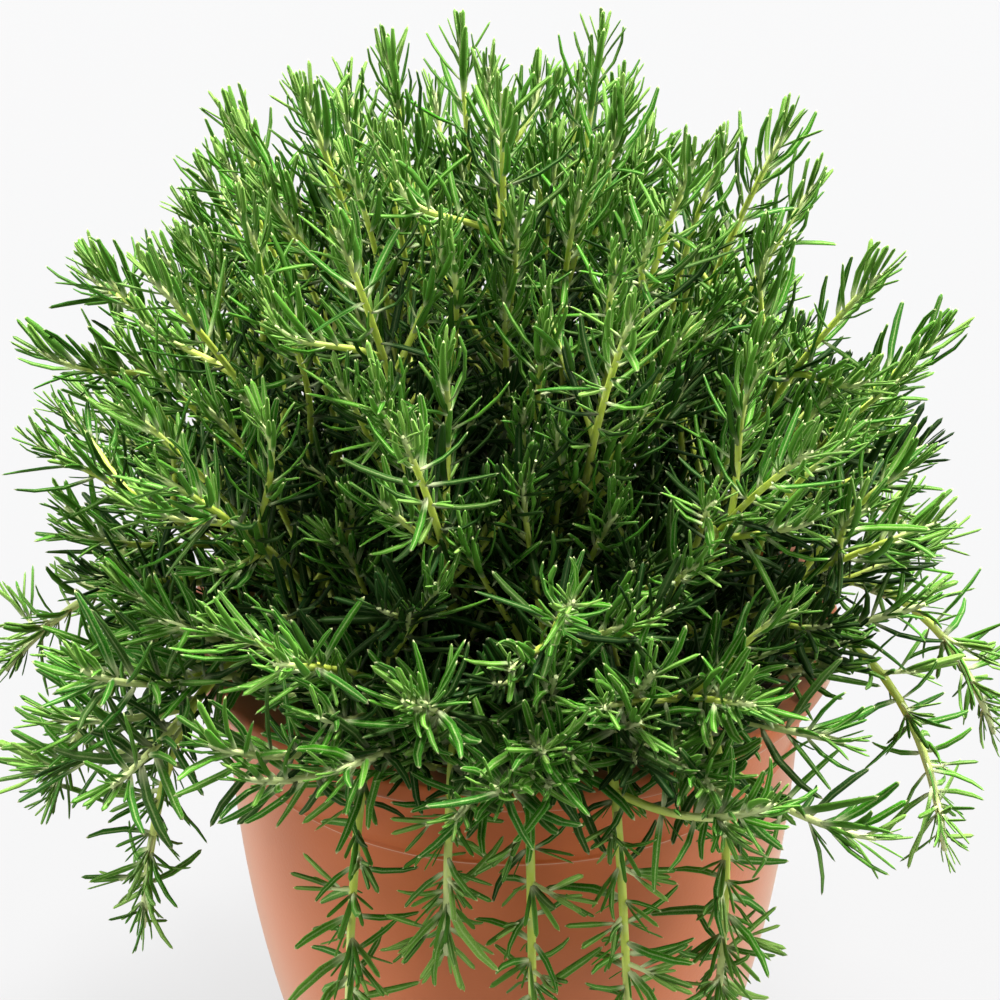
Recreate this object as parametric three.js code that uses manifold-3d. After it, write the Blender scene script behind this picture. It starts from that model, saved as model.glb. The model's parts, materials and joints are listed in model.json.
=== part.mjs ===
// A potted rosemary: one round moulded pot, the soil in it and the leafy stems of one plant.
// Millimetres, +Z up. The origin is the centre of the pot's flat underside, and the front faces -Y.
// An azimuth is in degrees, 0 at the front, and grows towards +X.
import * as THREE from "three";
import { mergeVertices } from "three/addons/utils/BufferGeometryUtils.js";
import Module from "manifold-3d";

const wasm = await Module();
wasm.setup();

// Pot
const POT_HEIGHT = 196;
const RIM_RADIUS = 115;
const LIP_HEIGHT = 8;
const WALL_RADIUS = 102.5;
const WALL_THICKNESS = 3;
const WALL_CURVE = 0.00092;
const RING_DEPTH = 36;
const RING_PROUD = 0.8;
const RING_HALF_HEIGHT = 1.2;
const BASE_THICKNESS = 3.4;
const BASE_ROUND = 2.5;
const LIP_ROUND = 2;
const OUTER_LEVELS = [30, 65, 100, 130];
const DRAIN_COUNT = 6;
const DRAIN_RADIUS = 4;
const DRAIN_CIRCLE = 45;
const DRAIN_SIDES = 8;
const POT_SIDES = 32;

// Soil
const FIT_GAP = 0.35;
const SOIL_DEPTH = 18;
const SOIL_CROWN = 4;
const SOIL_SHOULDER = { radius: 61, height: 2.8 };
const STEM_IN_SOIL = 12;
const HOLE_GAP = 0.4;

// Dome of the plant: a ball of tips around a centre above the rim. A foot rises by the rise given before
// it turns to its tip, and the last stretch of each stem is bent a little upward.
const CROWN_HEIGHT = 43;
const CROWN_SHIFT_X = -4;
const CROWN_RADIUS = 161;
const CROWN_SPREAD = 14;
const DOME_STEMS = 30;
const DOME_POLAR_END = 88;
const DOME_SOIL_RADIUS = 74;
const DOME_RISE = { out: 19, up: 50 };
const DOME_LAST_STRETCH = 80;
const DOME_BEND_UP = 0.45;
const GOLDEN_ANGLE = 137.508;

// Stems that lean out or trail over the rim: azimuth, reach from the axis, height above the rim.
const SKIRT = [
  { azimuth: -25, reach: 131, height: -104 },
  { azimuth: -10, reach: 127, height: -56 },
  { azimuth: 3, reach: 126, height: -110 },
  { azimuth: 17, reach: 132, height: -106 },
  { azimuth: 31, reach: 130, height: -98 },
  { azimuth: 64, reach: 163, height: -54 },
  { azimuth: 84, reach: 172, height: -42 },
  { azimuth: 112, reach: 168, height: -16 },
  { azimuth: 141, reach: 153, height: -62 },
  { azimuth: 170, reach: 163, height: -30 },
  { azimuth: 199, reach: 150, height: -74 },
  { azimuth: 228, reach: 165, height: -24 },
  { azimuth: 254, reach: 156, height: -52 },
  { azimuth: 276, reach: 179, height: -15 },
  { azimuth: 290, reach: 170, height: -45 },
  { azimuth: 305, reach: 153, height: -74 },
];
const SKIRT_SOIL_RADIUS = 86;
const SKIRT_RISE = { out: 4, up: 72 };
const HANGING_REACH = 140;
const HANGING_ARCH = 50;
const SPREAD_OUT = 0.8;
const SPREAD_UP = 0.7;

// Stems and side shoots
const STEM_RADIUS = 1.9;
const TIP_RADIUS = 1.1;
const STEM_SIDES = 4;
const STRAIGHT_FOOT = 20;
const SHOOT_RADIUS = 1.3;
const SHOOT_FROM = 0.6;
const SHOOT_LENGTH = 56;
const SHOOT_LEAN = 42;
const DOME_BARE_RINGS = 2;
const SKIRT_BARE_RINGS = 3;
const LEAFY_TO_TIP = [4, 9, 15, 22, 31, 41, 52, 64, 77];
const SIDE_LEAFY_TO_TIP = [3.5, 8, 14, 24];
const YOUNG_LEVELS = 2;
const FRAME_STEPS = 60;
const SEED = { dome: 1000, domeStep: 37, needles: 50000, needlesStep: 91 };

// Needles: full size from a distance below the tip, and wide open from a greater one.
const NEEDLE_LENGTH = 24;
const NEEDLE_WIDTH = 2.4;
const NEEDLE_KEEL = 1.3;
const NEEDLE_ROOT = 2.6;
const NEEDLE_CURVE = 18;
const NEEDLE_GAP = 0.35;
const NEEDLE_VARIES = 0.16;
const YOUNGEST_SHARE = 0.42;
const FULL_SIZE_FROM = 22;
const TIP_ANGLE = 20;
const OLD_ANGLE = 60;
const ANGLE_VARIES = 8;
const OPEN_FROM = 45;
const LEAST_ANGLE = 12;

const radians = (degrees) => (degrees * Math.PI) / 180;
const rimZ = POT_HEIGHT;
const soilEdgeZ = POT_HEIGHT - SOIL_DEPTH;
const up = new THREE.Vector3(0, 0, 1);

// Seeded draws between 0 and 1.
function draws(seed) {
  let state = seed;
  return () => {
    state = (state * 16807) % 2147483647;
    return state / 2147483647;
  };
}

function place(radius, azimuth, z) {
  const a = radians(azimuth);
  return new THREE.Vector3(radius * Math.sin(a), -radius * Math.cos(a), z);
}

// A closed geometry as a solid, with shared corners merged and collapsed triangles dropped.
function solidOf(geometry) {
  const bare = geometry.clone();
  bare.deleteAttribute("normal");
  bare.deleteAttribute("uv");
  const merged = mergeVertices(bare, 1e-4);
  const index = merged.index.array;
  const kept = [];
  for (let i = 0; i < index.length; i += 3) {
    const [a, b, c] = [index[i], index[i + 1], index[i + 2]];
    if (a !== b && b !== c && a !== c) kept.push(a, b, c);
  }
  return new wasm.Manifold(
    new wasm.Mesh({
      numProp: 3,
      vertProperties: merged.attributes.position.array,
      triVerts: new Uint32Array(kept),
    }),
  );
}

function geometryOf(solid) {
  const mesh = solid.getMesh();
  const geometry = new THREE.BufferGeometry();
  geometry.setAttribute("position", new THREE.BufferAttribute(mesh.vertProperties, 3));
  geometry.setIndex(new THREE.BufferAttribute(mesh.triVerts, 1));
  geometry.computeVertexNormals();
  return geometry;
}

function turned(profile) {
  const points = profile.map(([r, z]) => new THREE.Vector2(r, z));
  return solidOf(new THREE.LatheGeometry(points, POT_SIDES).rotateX(Math.PI / 2));
}

// Pot: the wall is upright below the lip and curves in faster and faster towards the base.
function wallRadius(z) {
  const below = Math.max(0, POT_HEIGHT - z - RING_DEPTH);
  return WALL_RADIUS - WALL_CURVE * below * below;
}

const innerLevels = [BASE_THICKNESS, 30, 80, POT_HEIGHT - RING_DEPTH, POT_HEIGHT - LIP_ROUND];
const innerWall = innerLevels.map((z) => [wallRadius(z) - WALL_THICKNESS, z]);

function innerRadius(z) {
  const above = Math.max(1, innerLevels.findIndex((level) => level >= z));
  const [[r0, z0], [r1, z1]] = [innerWall[above - 1], innerWall[above]];
  return r0 + ((r1 - r0) * (z - z0)) / (z1 - z0);
}

function makePot() {
  const ringZ = POT_HEIGHT - RING_DEPTH;
  const lipZ = POT_HEIGHT - LIP_HEIGHT;
  const baseRadius = wallRadius(0);
  const outer = [
    [0, 0],
    [baseRadius - BASE_ROUND, 0],
    [wallRadius(BASE_ROUND), BASE_ROUND],
    ...OUTER_LEVELS.map((z) => [wallRadius(z), z]),
    [WALL_RADIUS, ringZ - RING_HALF_HEIGHT],
    [WALL_RADIUS + RING_PROUD, ringZ],
    [WALL_RADIUS, ringZ + RING_HALF_HEIGHT],
    [WALL_RADIUS, lipZ - LIP_ROUND],
    [RIM_RADIUS - LIP_ROUND, lipZ],
    [RIM_RADIUS, lipZ + LIP_ROUND],
    [RIM_RADIUS, POT_HEIGHT - LIP_ROUND],
    [RIM_RADIUS - LIP_ROUND, POT_HEIGHT],
    [WALL_RADIUS, POT_HEIGHT],
  ];
  const inner = [...innerWall].reverse();
  let pot = turned([...outer, ...inner, [0, BASE_THICKNESS]]);
  for (let i = 0; i < DRAIN_COUNT; i++) {
    const through = 3 * BASE_THICKNESS;
    const drain = new THREE.CylinderGeometry(DRAIN_RADIUS, DRAIN_RADIUS, through, DRAIN_SIDES);
    const at = place(DRAIN_CIRCLE, (i * 360) / DRAIN_COUNT, 0);
    drain.rotateX(Math.PI / 2).translate(at.x, at.y, at.z);
    pot = pot.subtract(solidOf(drain));
  }
  return pot;
}

// Stems: each follows one cubic curve from its hole in the soil to its tip.
function stemCurve(soilRadius, azimuth, rise, tipPoint, tipReach) {
  const foot = place(soilRadius, azimuth, soilEdgeZ - STEM_IN_SOIL);
  return new THREE.CubicBezierCurve3(
    foot,
    foot.clone().add(rise),
    tipPoint.clone().sub(tipReach),
    tipPoint,
  );
}

function domeStem(i) {
  const draw = draws(SEED.dome + SEED.domeStep * i);
  const share = (i + 0.5) / DOME_STEMS;
  const azimuth = i * GOLDEN_ANGLE;
  const cosine = 1 - share * (1 - Math.cos(radians(DOME_POLAR_END)));
  const sine = Math.sqrt(1 - cosine * cosine);
  const direction = place(sine, azimuth, cosine);
  const centre = new THREE.Vector3(CROWN_SHIFT_X, 0, rimZ + CROWN_HEIGHT);
  const tip = centre.addScaledVector(direction, CROWN_RADIUS + CROWN_SPREAD * draw());
  const rise = place(DOME_RISE.out * sine, azimuth, DOME_RISE.up);
  const reach = direction.clone().addScaledVector(up, DOME_BEND_UP * sine);
  reach.setLength(DOME_LAST_STRETCH);
  const curve = stemCurve(DOME_SOIL_RADIUS * Math.sqrt(share), azimuth, rise, tip, reach);
  const turn = 360 * draw();
  const name = "leafy_stem_" + String(i + 1).padStart(2, "0");
  return { name, main: curve, bare: DOME_BARE_RINGS, side: sideShoot(curve, SHOOT_FROM, turn) };
}

function skirtStem({ azimuth, reach, height }, i) {
  const spread = Math.max(0, reach - HANGING_REACH);
  const rise = place(SKIRT_RISE.out, azimuth, SKIRT_RISE.up);
  const tip = place(reach, azimuth, rimZ + height);
  const tipReach = place(SPREAD_OUT * spread, azimuth, height - HANGING_ARCH + SPREAD_UP * spread);
  const curve = stemCurve(SKIRT_SOIL_RADIUS, azimuth, rise, tip, tipReach);
  const name = "trailing_stem_" + String(i + 1).padStart(2, "0");
  return { name, main: curve, bare: SKIRT_BARE_RINGS, side: null };
}

// A side shoot leans out of a stem and curves back along it.
function sideShoot(curve, from, turn) {
  const base = curve.getPointAt(from);
  const tangent = curve.getTangentAt(from);
  const across = new THREE.Vector3(1, 0, 0).cross(tangent).normalize();
  const lean = across.applyAxisAngle(tangent, radians(turn));
  const aim = (degrees) =>
    tangent
      .clone()
      .multiplyScalar(Math.cos(radians(degrees)))
      .addScaledVector(lean, Math.sin(radians(degrees)));
  const middle = base.clone().addScaledVector(aim(SHOOT_LEAN), SHOOT_LENGTH / 2);
  const tip = middle.clone().addScaledVector(aim(SHOOT_LEAN / 3), SHOOT_LENGTH / 2);
  return new THREE.QuadraticBezierCurve3(base, middle, tip);
}

// The rings of a shoot, from its foot to the last one below its bud. Each holds its distance to the tip.
function ringsOf(curve, toTip, footRadius) {
  const length = curve.getLength();
  const frames = curve.computeFrenetFrames(FRAME_STEPS, false);
  return toTip.map((distance) => {
    const u = Math.max(0, 1 - distance / length);
    const k = Math.round(u * FRAME_STEPS);
    return {
      distance,
      centre: curve.getPointAt(u),
      normal: frames.normals[k],
      binormal: frames.binormals[k],
      radius: footRadius + (TIP_RADIUS - footRadius) * u,
    };
  });
}

function cornerOf(ring, j, grow = 0) {
  const a = ((j + 0.5) * 2 * Math.PI) / STEM_SIDES;
  return ring.centre
    .clone()
    .addScaledVector(ring.normal, (ring.radius + grow) * Math.cos(a))
    .addScaledVector(ring.binormal, (ring.radius + grow) * Math.sin(a));
}

// Everything that a needle must stay clear of, as segments with a radius.
const taken = [];

function take(from, to, radius, shoot, level) {
  const middle = from.clone().lerp(to, 0.5);
  taken.push({ from, to, radius, shoot, level, middle, half: from.distanceTo(to) / 2 });
}

// The shortest distance between two segments.
function segmentDistance(p1, q1, p2, q2) {
  const d1 = q1.clone().sub(p1);
  const d2 = q2.clone().sub(p2);
  const r = p1.clone().sub(p2);
  const [a, e, f, c, b] = [d1.dot(d1), d2.dot(d2), d2.dot(r), d1.dot(r), d1.dot(d2)];
  const clamp = (x) => Math.min(1, Math.max(0, x));
  const under = a * e - b * b;
  let s = under > 1e-9 ? clamp((b * f - c * e) / under) : 0;
  const t = clamp((b * s + f) / e);
  s = clamp((b * t - c) / a);
  return p1.clone().addScaledVector(d1, s).distanceTo(p2.clone().addScaledVector(d2, t));
}

function clearOfPot(point, margin) {
  const r = Math.hypot(point.x, point.y);
  if (point.z > rimZ + margin || r > RIM_RADIUS + margin) return point.z > margin;
  const soilTop = soilEdgeZ + SOIL_CROWN;
  if (point.z > soilTop + margin && r < wallRadius(point.z) - WALL_THICKNESS - margin) return true;
  const underLip = rimZ - LIP_HEIGHT - LIP_ROUND - margin;
  const outer = point.z > underLip ? RIM_RADIUS : wallRadius(point.z);
  return r > outer + margin && point.z > margin;
}

function isClear(from, to, radius, shoot, level) {
  for (let i = 0; i <= 4; i++) {
    if (i > 0 && !clearOfPot(from.clone().lerp(to, i / 4), radius + NEEDLE_GAP)) return false;
  }
  const middle = from.clone().lerp(to, 0.5);
  const half = from.distanceTo(to) / 2;
  return taken.every((other) => {
    if (other.shoot === shoot && (other.level === null || Math.abs(other.level - level) < 2)) {
      return true;
    }
    const least = radius + other.radius + NEEDLE_GAP;
    if (middle.distanceTo(other.middle) > half + other.half + least) return true;
    return segmentDistance(from, to, other.from, other.to) > least;
  });
}

// A needle leaves its facet at an angle to the stem and bends back towards it.
// The tries are its length and angle at full size first, then smaller and closer to the stem.
const TRIES = [
  [1, 0],
  [1, -14],
  [0.8, -20],
  [0.65, -26],
  [0.5, -10],
];

function needleFor(root, outward, tangent, distance, draw, shoot, level) {
  const grown = YOUNGEST_SHARE + (1 - YOUNGEST_SHARE) * Math.min(1, distance / FULL_SIZE_FROM);
  const full = NEEDLE_LENGTH * grown * (1 + NEEDLE_VARIES * (draw() - 0.5));
  const opened = (OLD_ANGLE - TIP_ANGLE) * Math.min(1, distance / OPEN_FROM);
  const open = TIP_ANGLE + opened + ANGLE_VARIES * (draw() - 0.5);
  const aim = (degrees) =>
    tangent
      .clone()
      .multiplyScalar(Math.cos(radians(degrees)))
      .addScaledVector(outward, Math.sin(radians(degrees)));
  for (const [share, closer] of TRIES) {
    const angle = Math.max(LEAST_ANGLE, open + closer);
    const middle = root.clone().addScaledVector(aim(angle), (full * share) / 2);
    const tip = middle.clone().addScaledVector(aim(angle - NEEDLE_CURVE), (full * share) / 2);
    const thick = NEEDLE_WIDTH / 2;
    if (!isClear(root, middle, thick, shoot, level)) continue;
    if (!isClear(middle, tip, thick, shoot, level)) continue;
    take(root, middle, thick, shoot, level);
    take(middle, tip, thick, shoot, level);
    const keel = aim(angle + 90).negate();
    return { middle, tip, keel };
  }
  return null;
}

// One shoot as a closed mesh: a square tube that ends in a bud, with needles raised from its facets.
// Pairs stand crosswise to the pair below, and the two youngest levels carry a straight needle on
// every side.
function shootSolid(rings, tip, firstLevel, draw, shoot) {
  const points = [];
  const faces = [];
  const add = (point) => points.push(point) - 1;
  const face = (a, b, c) => faces.push(a, b, c);
  rings.forEach((ring) => {
    for (let j = 0; j < STEM_SIDES; j++) add(cornerOf(ring, j));
  });
  const corner = (k, j) => k * STEM_SIDES + (j % STEM_SIDES);
  const last = rings.length - 1;
  const bud = add(tip);
  for (let j = 0; j < STEM_SIDES; j++) face(corner(last, j), corner(last, j + 1), bud);
  for (let j = 1; j < STEM_SIDES - 1; j++) face(corner(0, 0), corner(0, j + 1), corner(0, j));
  for (let k = last - 1; k >= 0; k--) {
    const ring = rings[k];
    const young = k >= last - YOUNG_LEVELS;
    for (let j = 0; j < STEM_SIDES; j++) {
      const [a, b] = [corner(k, j), corner(k, j + 1)];
      const [c, d] = [corner(k + 1, j), corner(k + 1, j + 1)];
      const hasNeedle = k >= firstLevel && (young || (j + k) % 2 === 0);
      const low = points[a].clone().lerp(points[b], 0.5);
      const high = points[c].clone().lerp(points[d], 0.5);
      const outward = low.clone().sub(ring.centre).normalize();
      const eye = low.clone().addScaledVector(high.clone().sub(low).normalize(), NEEDLE_ROOT);
      const root = low.clone().lerp(eye, 1 / 3);
      const along = high.clone().sub(low).normalize();
      const needle = hasNeedle
        ? needleFor(root, outward, along, ring.distance, draw, shoot, k)
        : null;
      if (!needle) {
        face(a, b, c);
        face(b, d, c);
        continue;
      }
      const e = add(eye);
      face(b, d, e);
      face(d, c, e);
      face(c, a, e);
      const end = add(needle.tip);
      if (young) {
        face(a, b, end);
        face(b, e, end);
        face(e, a, end);
        continue;
      }
      const wide = points[b].clone().sub(points[a]).setLength(NEEDLE_WIDTH / 2);
      const a2 = add(needle.middle.clone().sub(wide));
      const b2 = add(needle.middle.clone().add(wide));
      const e2 = add(needle.middle.clone().addScaledVector(needle.keel, NEEDLE_KEEL));
      for (const [p, q, q2, p2] of [
        [a, b, b2, a2],
        [b, e, e2, b2],
        [e, a, a2, e2],
      ]) {
        face(p, q, q2);
        face(p, q2, p2);
        face(p2, q2, end);
      }
    }
  }
  const geometry = new THREE.BufferGeometry().setFromPoints(points);
  geometry.setIndex(faces);
  return solidOf(geometry);
}

// The leafy rings, then the bare ones down to the straight foot, and the foot itself.
function mainRings(curve, bare) {
  const length = curve.getLength();
  const leafyEnd = LEAFY_TO_TIP[LEAFY_TO_TIP.length - 1];
  const gap = (length - STRAIGHT_FOOT - leafyEnd) / bare;
  const steps = Array.from({ length: bare }, (_, i) => leafyEnd + gap * (i + 1));
  return ringsOf(curve, [...LEAFY_TO_TIP, ...steps, length].reverse(), STEM_RADIUS);
}

function makePlant() {
  const dome = Array.from({ length: DOME_STEMS }, (_, i) => domeStem(i));
  const stems = [...dome, ...SKIRT.map(skirtStem)];
  const shoots = [];
  for (const stem of stems) {
    const rings = mainRings(stem.main, stem.bare);
    const tip = stem.main.getPointAt(1);
    stem.rings = rings;
    shoots.push({ stem, rings, tip, firstLevel: rings.length - LEAFY_TO_TIP.length });
    if (stem.side) {
      const length = stem.side.getLength();
      const toTip = [...SIDE_LEAFY_TO_TIP, length].reverse();
      const side = ringsOf(stem.side, toTip, SHOOT_RADIUS);
      shoots.push({ stem, rings: side, tip: stem.side.getPointAt(1), firstLevel: 1 });
    }
  }
  for (const shoot of shoots) {
    const line = [...shoot.rings.map((ring) => ring.centre), shoot.tip];
    for (let k = 0; k + 1 < line.length; k++) take(line[k], line[k + 1], STEM_RADIUS, shoot, null);
  }
  shoots.forEach((shoot, i) => {
    const draw = draws(SEED.needles + SEED.needlesStep * i);
    const solid = shootSolid(shoot.rings, shoot.tip, shoot.firstLevel, draw, shoot);
    shoot.stem.solid = shoot.stem.solid ? shoot.stem.solid.add(solid) : solid;
  });
  return stems;
}

// Soil: it fills the pot to below the rim and has one plain hole for each stem.
function makeSoil(stems) {
  const bottom = BASE_THICKNESS + FIT_GAP;
  const levels = innerLevels.filter((z) => z > bottom && z < soilEdgeZ);
  const side = [bottom, ...levels, soilEdgeZ].map((z) => [innerRadius(z) - FIT_GAP, z]);
  const crown = [SOIL_SHOULDER.radius, soilEdgeZ + SOIL_SHOULDER.height];
  let soil = turned([[0, bottom], ...side, crown, [0, soilEdgeZ + SOIL_CROWN]]);
  for (const stem of stems) {
    const points = [];
    const [foot, next] = stem.rings;
    for (const ring of [foot, next]) {
      for (let j = 0; j < STEM_SIDES; j++) points.push(cornerOf(ring, j, HOLE_GAP * Math.SQRT2));
    }
    const down = next.centre.clone().sub(foot.centre).setLength(HOLE_GAP);
    for (let j = 0; j < STEM_SIDES; j++) points[j].sub(down);
    const faces = [0, 2, 1, 0, 3, 2, 4, 5, 6, 4, 6, 7];
    for (let j = 0; j < STEM_SIDES; j++) {
      const k = (j + 1) % STEM_SIDES;
      faces.push(j, k, 4 + j, k, 4 + k, 4 + j);
    }
    const hole = new THREE.BufferGeometry().setFromPoints(points);
    hole.setIndex(faces);
    soil = soil.subtract(solidOf(hole));
  }
  return soil;
}

const terracotta = new THREE.MeshStandardMaterial({ color: 0xbf7457, roughness: 0.5, metalness: 0 });
const pottingSoil = new THREE.MeshStandardMaterial({ color: 0x33251b, roughness: 1, metalness: 0 });
const foliage = new THREE.MeshStandardMaterial({ color: 0x2f6f2c, roughness: 0.55, metalness: 0 });

const root = new THREE.Group();

function addMesh(name, solid, material) {
  const mesh = new THREE.Mesh(geometryOf(solid), material);
  mesh.name = name;
  root.add(mesh);
}

const plant = makePlant();
addMesh("pot", makePot(), terracotta);
addMesh("soil", makeSoil(plant), pottingSoil);
for (const stem of plant) addMesh(stem.name, stem.solid, foliage);

export default root;
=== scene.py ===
import json
import math

import bmesh
import bpy
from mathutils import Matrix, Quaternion, Vector

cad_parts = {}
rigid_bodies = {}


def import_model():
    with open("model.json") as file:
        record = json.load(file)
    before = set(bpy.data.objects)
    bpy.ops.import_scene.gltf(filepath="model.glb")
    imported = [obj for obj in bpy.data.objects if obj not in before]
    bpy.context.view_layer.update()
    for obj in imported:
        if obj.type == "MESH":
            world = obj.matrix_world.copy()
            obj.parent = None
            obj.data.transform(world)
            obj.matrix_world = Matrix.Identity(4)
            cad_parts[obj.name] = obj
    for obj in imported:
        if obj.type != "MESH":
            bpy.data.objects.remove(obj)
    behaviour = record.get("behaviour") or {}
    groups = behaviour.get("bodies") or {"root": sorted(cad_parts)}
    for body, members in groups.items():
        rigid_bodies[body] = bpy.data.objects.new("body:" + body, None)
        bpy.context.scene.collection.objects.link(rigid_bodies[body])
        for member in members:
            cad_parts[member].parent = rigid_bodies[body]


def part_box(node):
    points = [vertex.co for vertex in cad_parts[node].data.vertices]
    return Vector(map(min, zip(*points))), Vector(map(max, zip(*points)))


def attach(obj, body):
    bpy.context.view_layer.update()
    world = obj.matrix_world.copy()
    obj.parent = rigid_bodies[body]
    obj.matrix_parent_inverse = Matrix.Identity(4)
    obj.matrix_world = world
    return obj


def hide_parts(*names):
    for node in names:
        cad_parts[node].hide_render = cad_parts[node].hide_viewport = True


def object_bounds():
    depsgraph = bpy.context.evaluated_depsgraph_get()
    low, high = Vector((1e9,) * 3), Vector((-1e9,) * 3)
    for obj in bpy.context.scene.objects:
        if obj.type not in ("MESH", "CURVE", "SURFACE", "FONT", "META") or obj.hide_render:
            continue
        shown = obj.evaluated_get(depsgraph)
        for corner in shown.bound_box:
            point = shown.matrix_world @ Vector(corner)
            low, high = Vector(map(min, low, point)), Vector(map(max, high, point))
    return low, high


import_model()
cad_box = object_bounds()

# Camera: a long lens in front of the plant, a little under a metre from it. It looks down on the plant
# and is aimed a little above the pot's rim.
MM = 0.001
LOOK_ABOVE_RIM = 43 * MM
LOOK_LEFT = 4.7 * MM
CAMERA_AWAY = 900 * MM
CAMERA_ELEVATION = math.radians(28.5)
FOCAL_LENGTH = 93.6
SENSOR_WIDTH = 36.0
FARTHEST_SEEN = 100

rim_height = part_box("pot")[1][2]
camera = bpy.data.objects.new("camera", bpy.data.cameras.new("camera"))
bpy.context.collection.objects.link(camera)
bpy.context.scene.camera = camera
camera.data.lens = FOCAL_LENGTH
camera.data.sensor_width = SENSOR_WIDTH
camera.data.clip_end = FARTHEST_SEEN
back = Vector((0, -math.cos(CAMERA_ELEVATION), math.sin(CAMERA_ELEVATION)))
camera.location = Vector((-LOOK_LEFT, 0, rim_height + LOOK_ABOVE_RIM)) + CAMERA_AWAY * back
camera.rotation_euler = back.to_track_quat("Z", "Y").to_euler()

# Studio: one wide pale floor, lit a little from below like a light table, between pale walls at the
# back and the sides, and one soft lamp overhead. The view shows plain colours, with no film curve.
FLOOR_HALF_WIDTH = 15
FLOOR_COLOUR = (0.03, 0.03, 0.0305, 1)
FLOOR_GLOW = 0.75
FLOOR_FINISH = {
    "Base Color": FLOOR_COLOUR,
    "Roughness": 0.9,
    "Specular IOR Level": 0.1,
    "Emission Color": (1, 1, 1, 1),
    "Emission Strength": FLOOR_GLOW,
}
SKY_COLOUR = (0.98, 0.99, 1.0, 1)
SKY_STRENGTH = 0.93
SIDE_STRENGTH = 5.0
SIDE_FADE = (0.5, 0.95)
BACK_STRENGTH = 1.0
BACK_FADE = (-0.1, 0.7)
DIM_STRENGTH = 0.105
LAMP_AZIMUTH = math.radians(145)
LAMP_ELEVATION = math.radians(74)
LAMP_STRENGTH = 13.2
LAMP_SOFTNESS = math.radians(20)


def add_node(tree, kind, inputs=None, **settings):
    """Adds a node. Each input is a plain value, or a socket to link it to."""
    made = tree.nodes.new(kind)
    for name, value in settings.items():
        setattr(made, name, value)
    for key, value in (inputs or {}).items():
        if isinstance(value, bpy.types.NodeSocket):
            tree.links.new(value, made.inputs[key])
        else:
            made.inputs[key].default_value = value
    return made


def output_of(tree, kind, inputs=None, **settings):
    """Adds a node and returns its first output."""
    return add_node(tree, kind, inputs, **settings).outputs[0]


def calculate(tree, operation, a, b=0.0, c=0.0, clamp=False):
    inputs = {0: a, 1: b, 2: c}
    return output_of(tree, "ShaderNodeMath", inputs, operation=operation, use_clamp=clamp)


def step_between(tree, value, low, high):
    """0 below one value and 1 above the other, smooth in between."""
    inputs = {"Value": value, "From Min": low, "From Max": high}
    return output_of(tree, "ShaderNodeMapRange", inputs, interpolation_type="SMOOTHSTEP")


def new_material(name, finish):
    """A node material with constant values on its surface shader. Returns its tree and shader too."""
    material = bpy.data.materials.new(name)
    material.use_nodes = True
    shader = material.node_tree.nodes["Principled BSDF"]
    for label, value in finish.items():
        shader.inputs[label].default_value = value
    return material, material.node_tree, shader


def make_smooth(mesh):
    mesh.polygons.foreach_set("use_smooth", [True] * len(mesh.polygons))


def mesh_object(name, points, faces):
    """A smooth mesh of points in metres."""
    mesh = bpy.data.meshes.new(name)
    mesh.from_pydata([tuple(p) for p in points], [], faces)
    make_smooth(mesh)
    made = bpy.data.objects.new(name, mesh)
    bpy.context.collection.objects.link(made)
    return made


half = FLOOR_HALF_WIDTH
corners = [(-half, -half, 0), (half, -half, 0), (half, half, 0), (-half, half, 0)]
floor = mesh_object("studio_floor", corners, [(0, 1, 2, 3)])
floor_material, _, _ = new_material("studio_floor", FLOOR_FINISH)
floor.data.materials.append(floor_material)

world = bpy.data.worlds.new("studio")
world.use_nodes = True
bpy.context.scene.world = world
tree = world.node_tree
tree.nodes.clear()
direction = add_node(tree, "ShaderNodeTexCoord").outputs["Generated"]
across, deep, _ = add_node(tree, "ShaderNodeSeparateXYZ", {0: direction}).outputs
behind = step_between(tree, deep, *BACK_FADE)
beside = step_between(tree, calculate(tree, "ABSOLUTE", across), *SIDE_FADE)
strength = calculate(tree, "MULTIPLY_ADD", behind, BACK_STRENGTH, DIM_STRENGTH)
strength = calculate(tree, "MULTIPLY_ADD", beside, SIDE_STRENGTH, strength)
lit = output_of(tree, "ShaderNodeBackground", {"Color": SKY_COLOUR, "Strength": strength})
seen = output_of(tree, "ShaderNodeBackground", {"Color": SKY_COLOUR, "Strength": SKY_STRENGTH})
is_seen = add_node(tree, "ShaderNodeLightPath").outputs["Is Camera Ray"]
walls = output_of(tree, "ShaderNodeMixShader", {0: is_seen, 1: lit, 2: seen})
add_node(tree, "ShaderNodeOutputWorld", {"Surface": walls})
bpy.context.scene.view_settings.view_transform = "Standard"

lamp = bpy.data.objects.new("key_light", bpy.data.lights.new("key_light", "SUN"))
bpy.context.collection.objects.link(lamp)
lamp.data.energy = LAMP_STRENGTH
lamp.data.angle = LAMP_SOFTNESS
towards = Vector((
    math.sin(LAMP_AZIMUTH) * math.cos(LAMP_ELEVATION),
    -math.cos(LAMP_AZIMUTH) * math.cos(LAMP_ELEVATION),
    math.sin(LAMP_ELEVATION),
))
lamp.rotation_euler = towards.to_track_quat("Z", "Y").to_euler()

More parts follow.
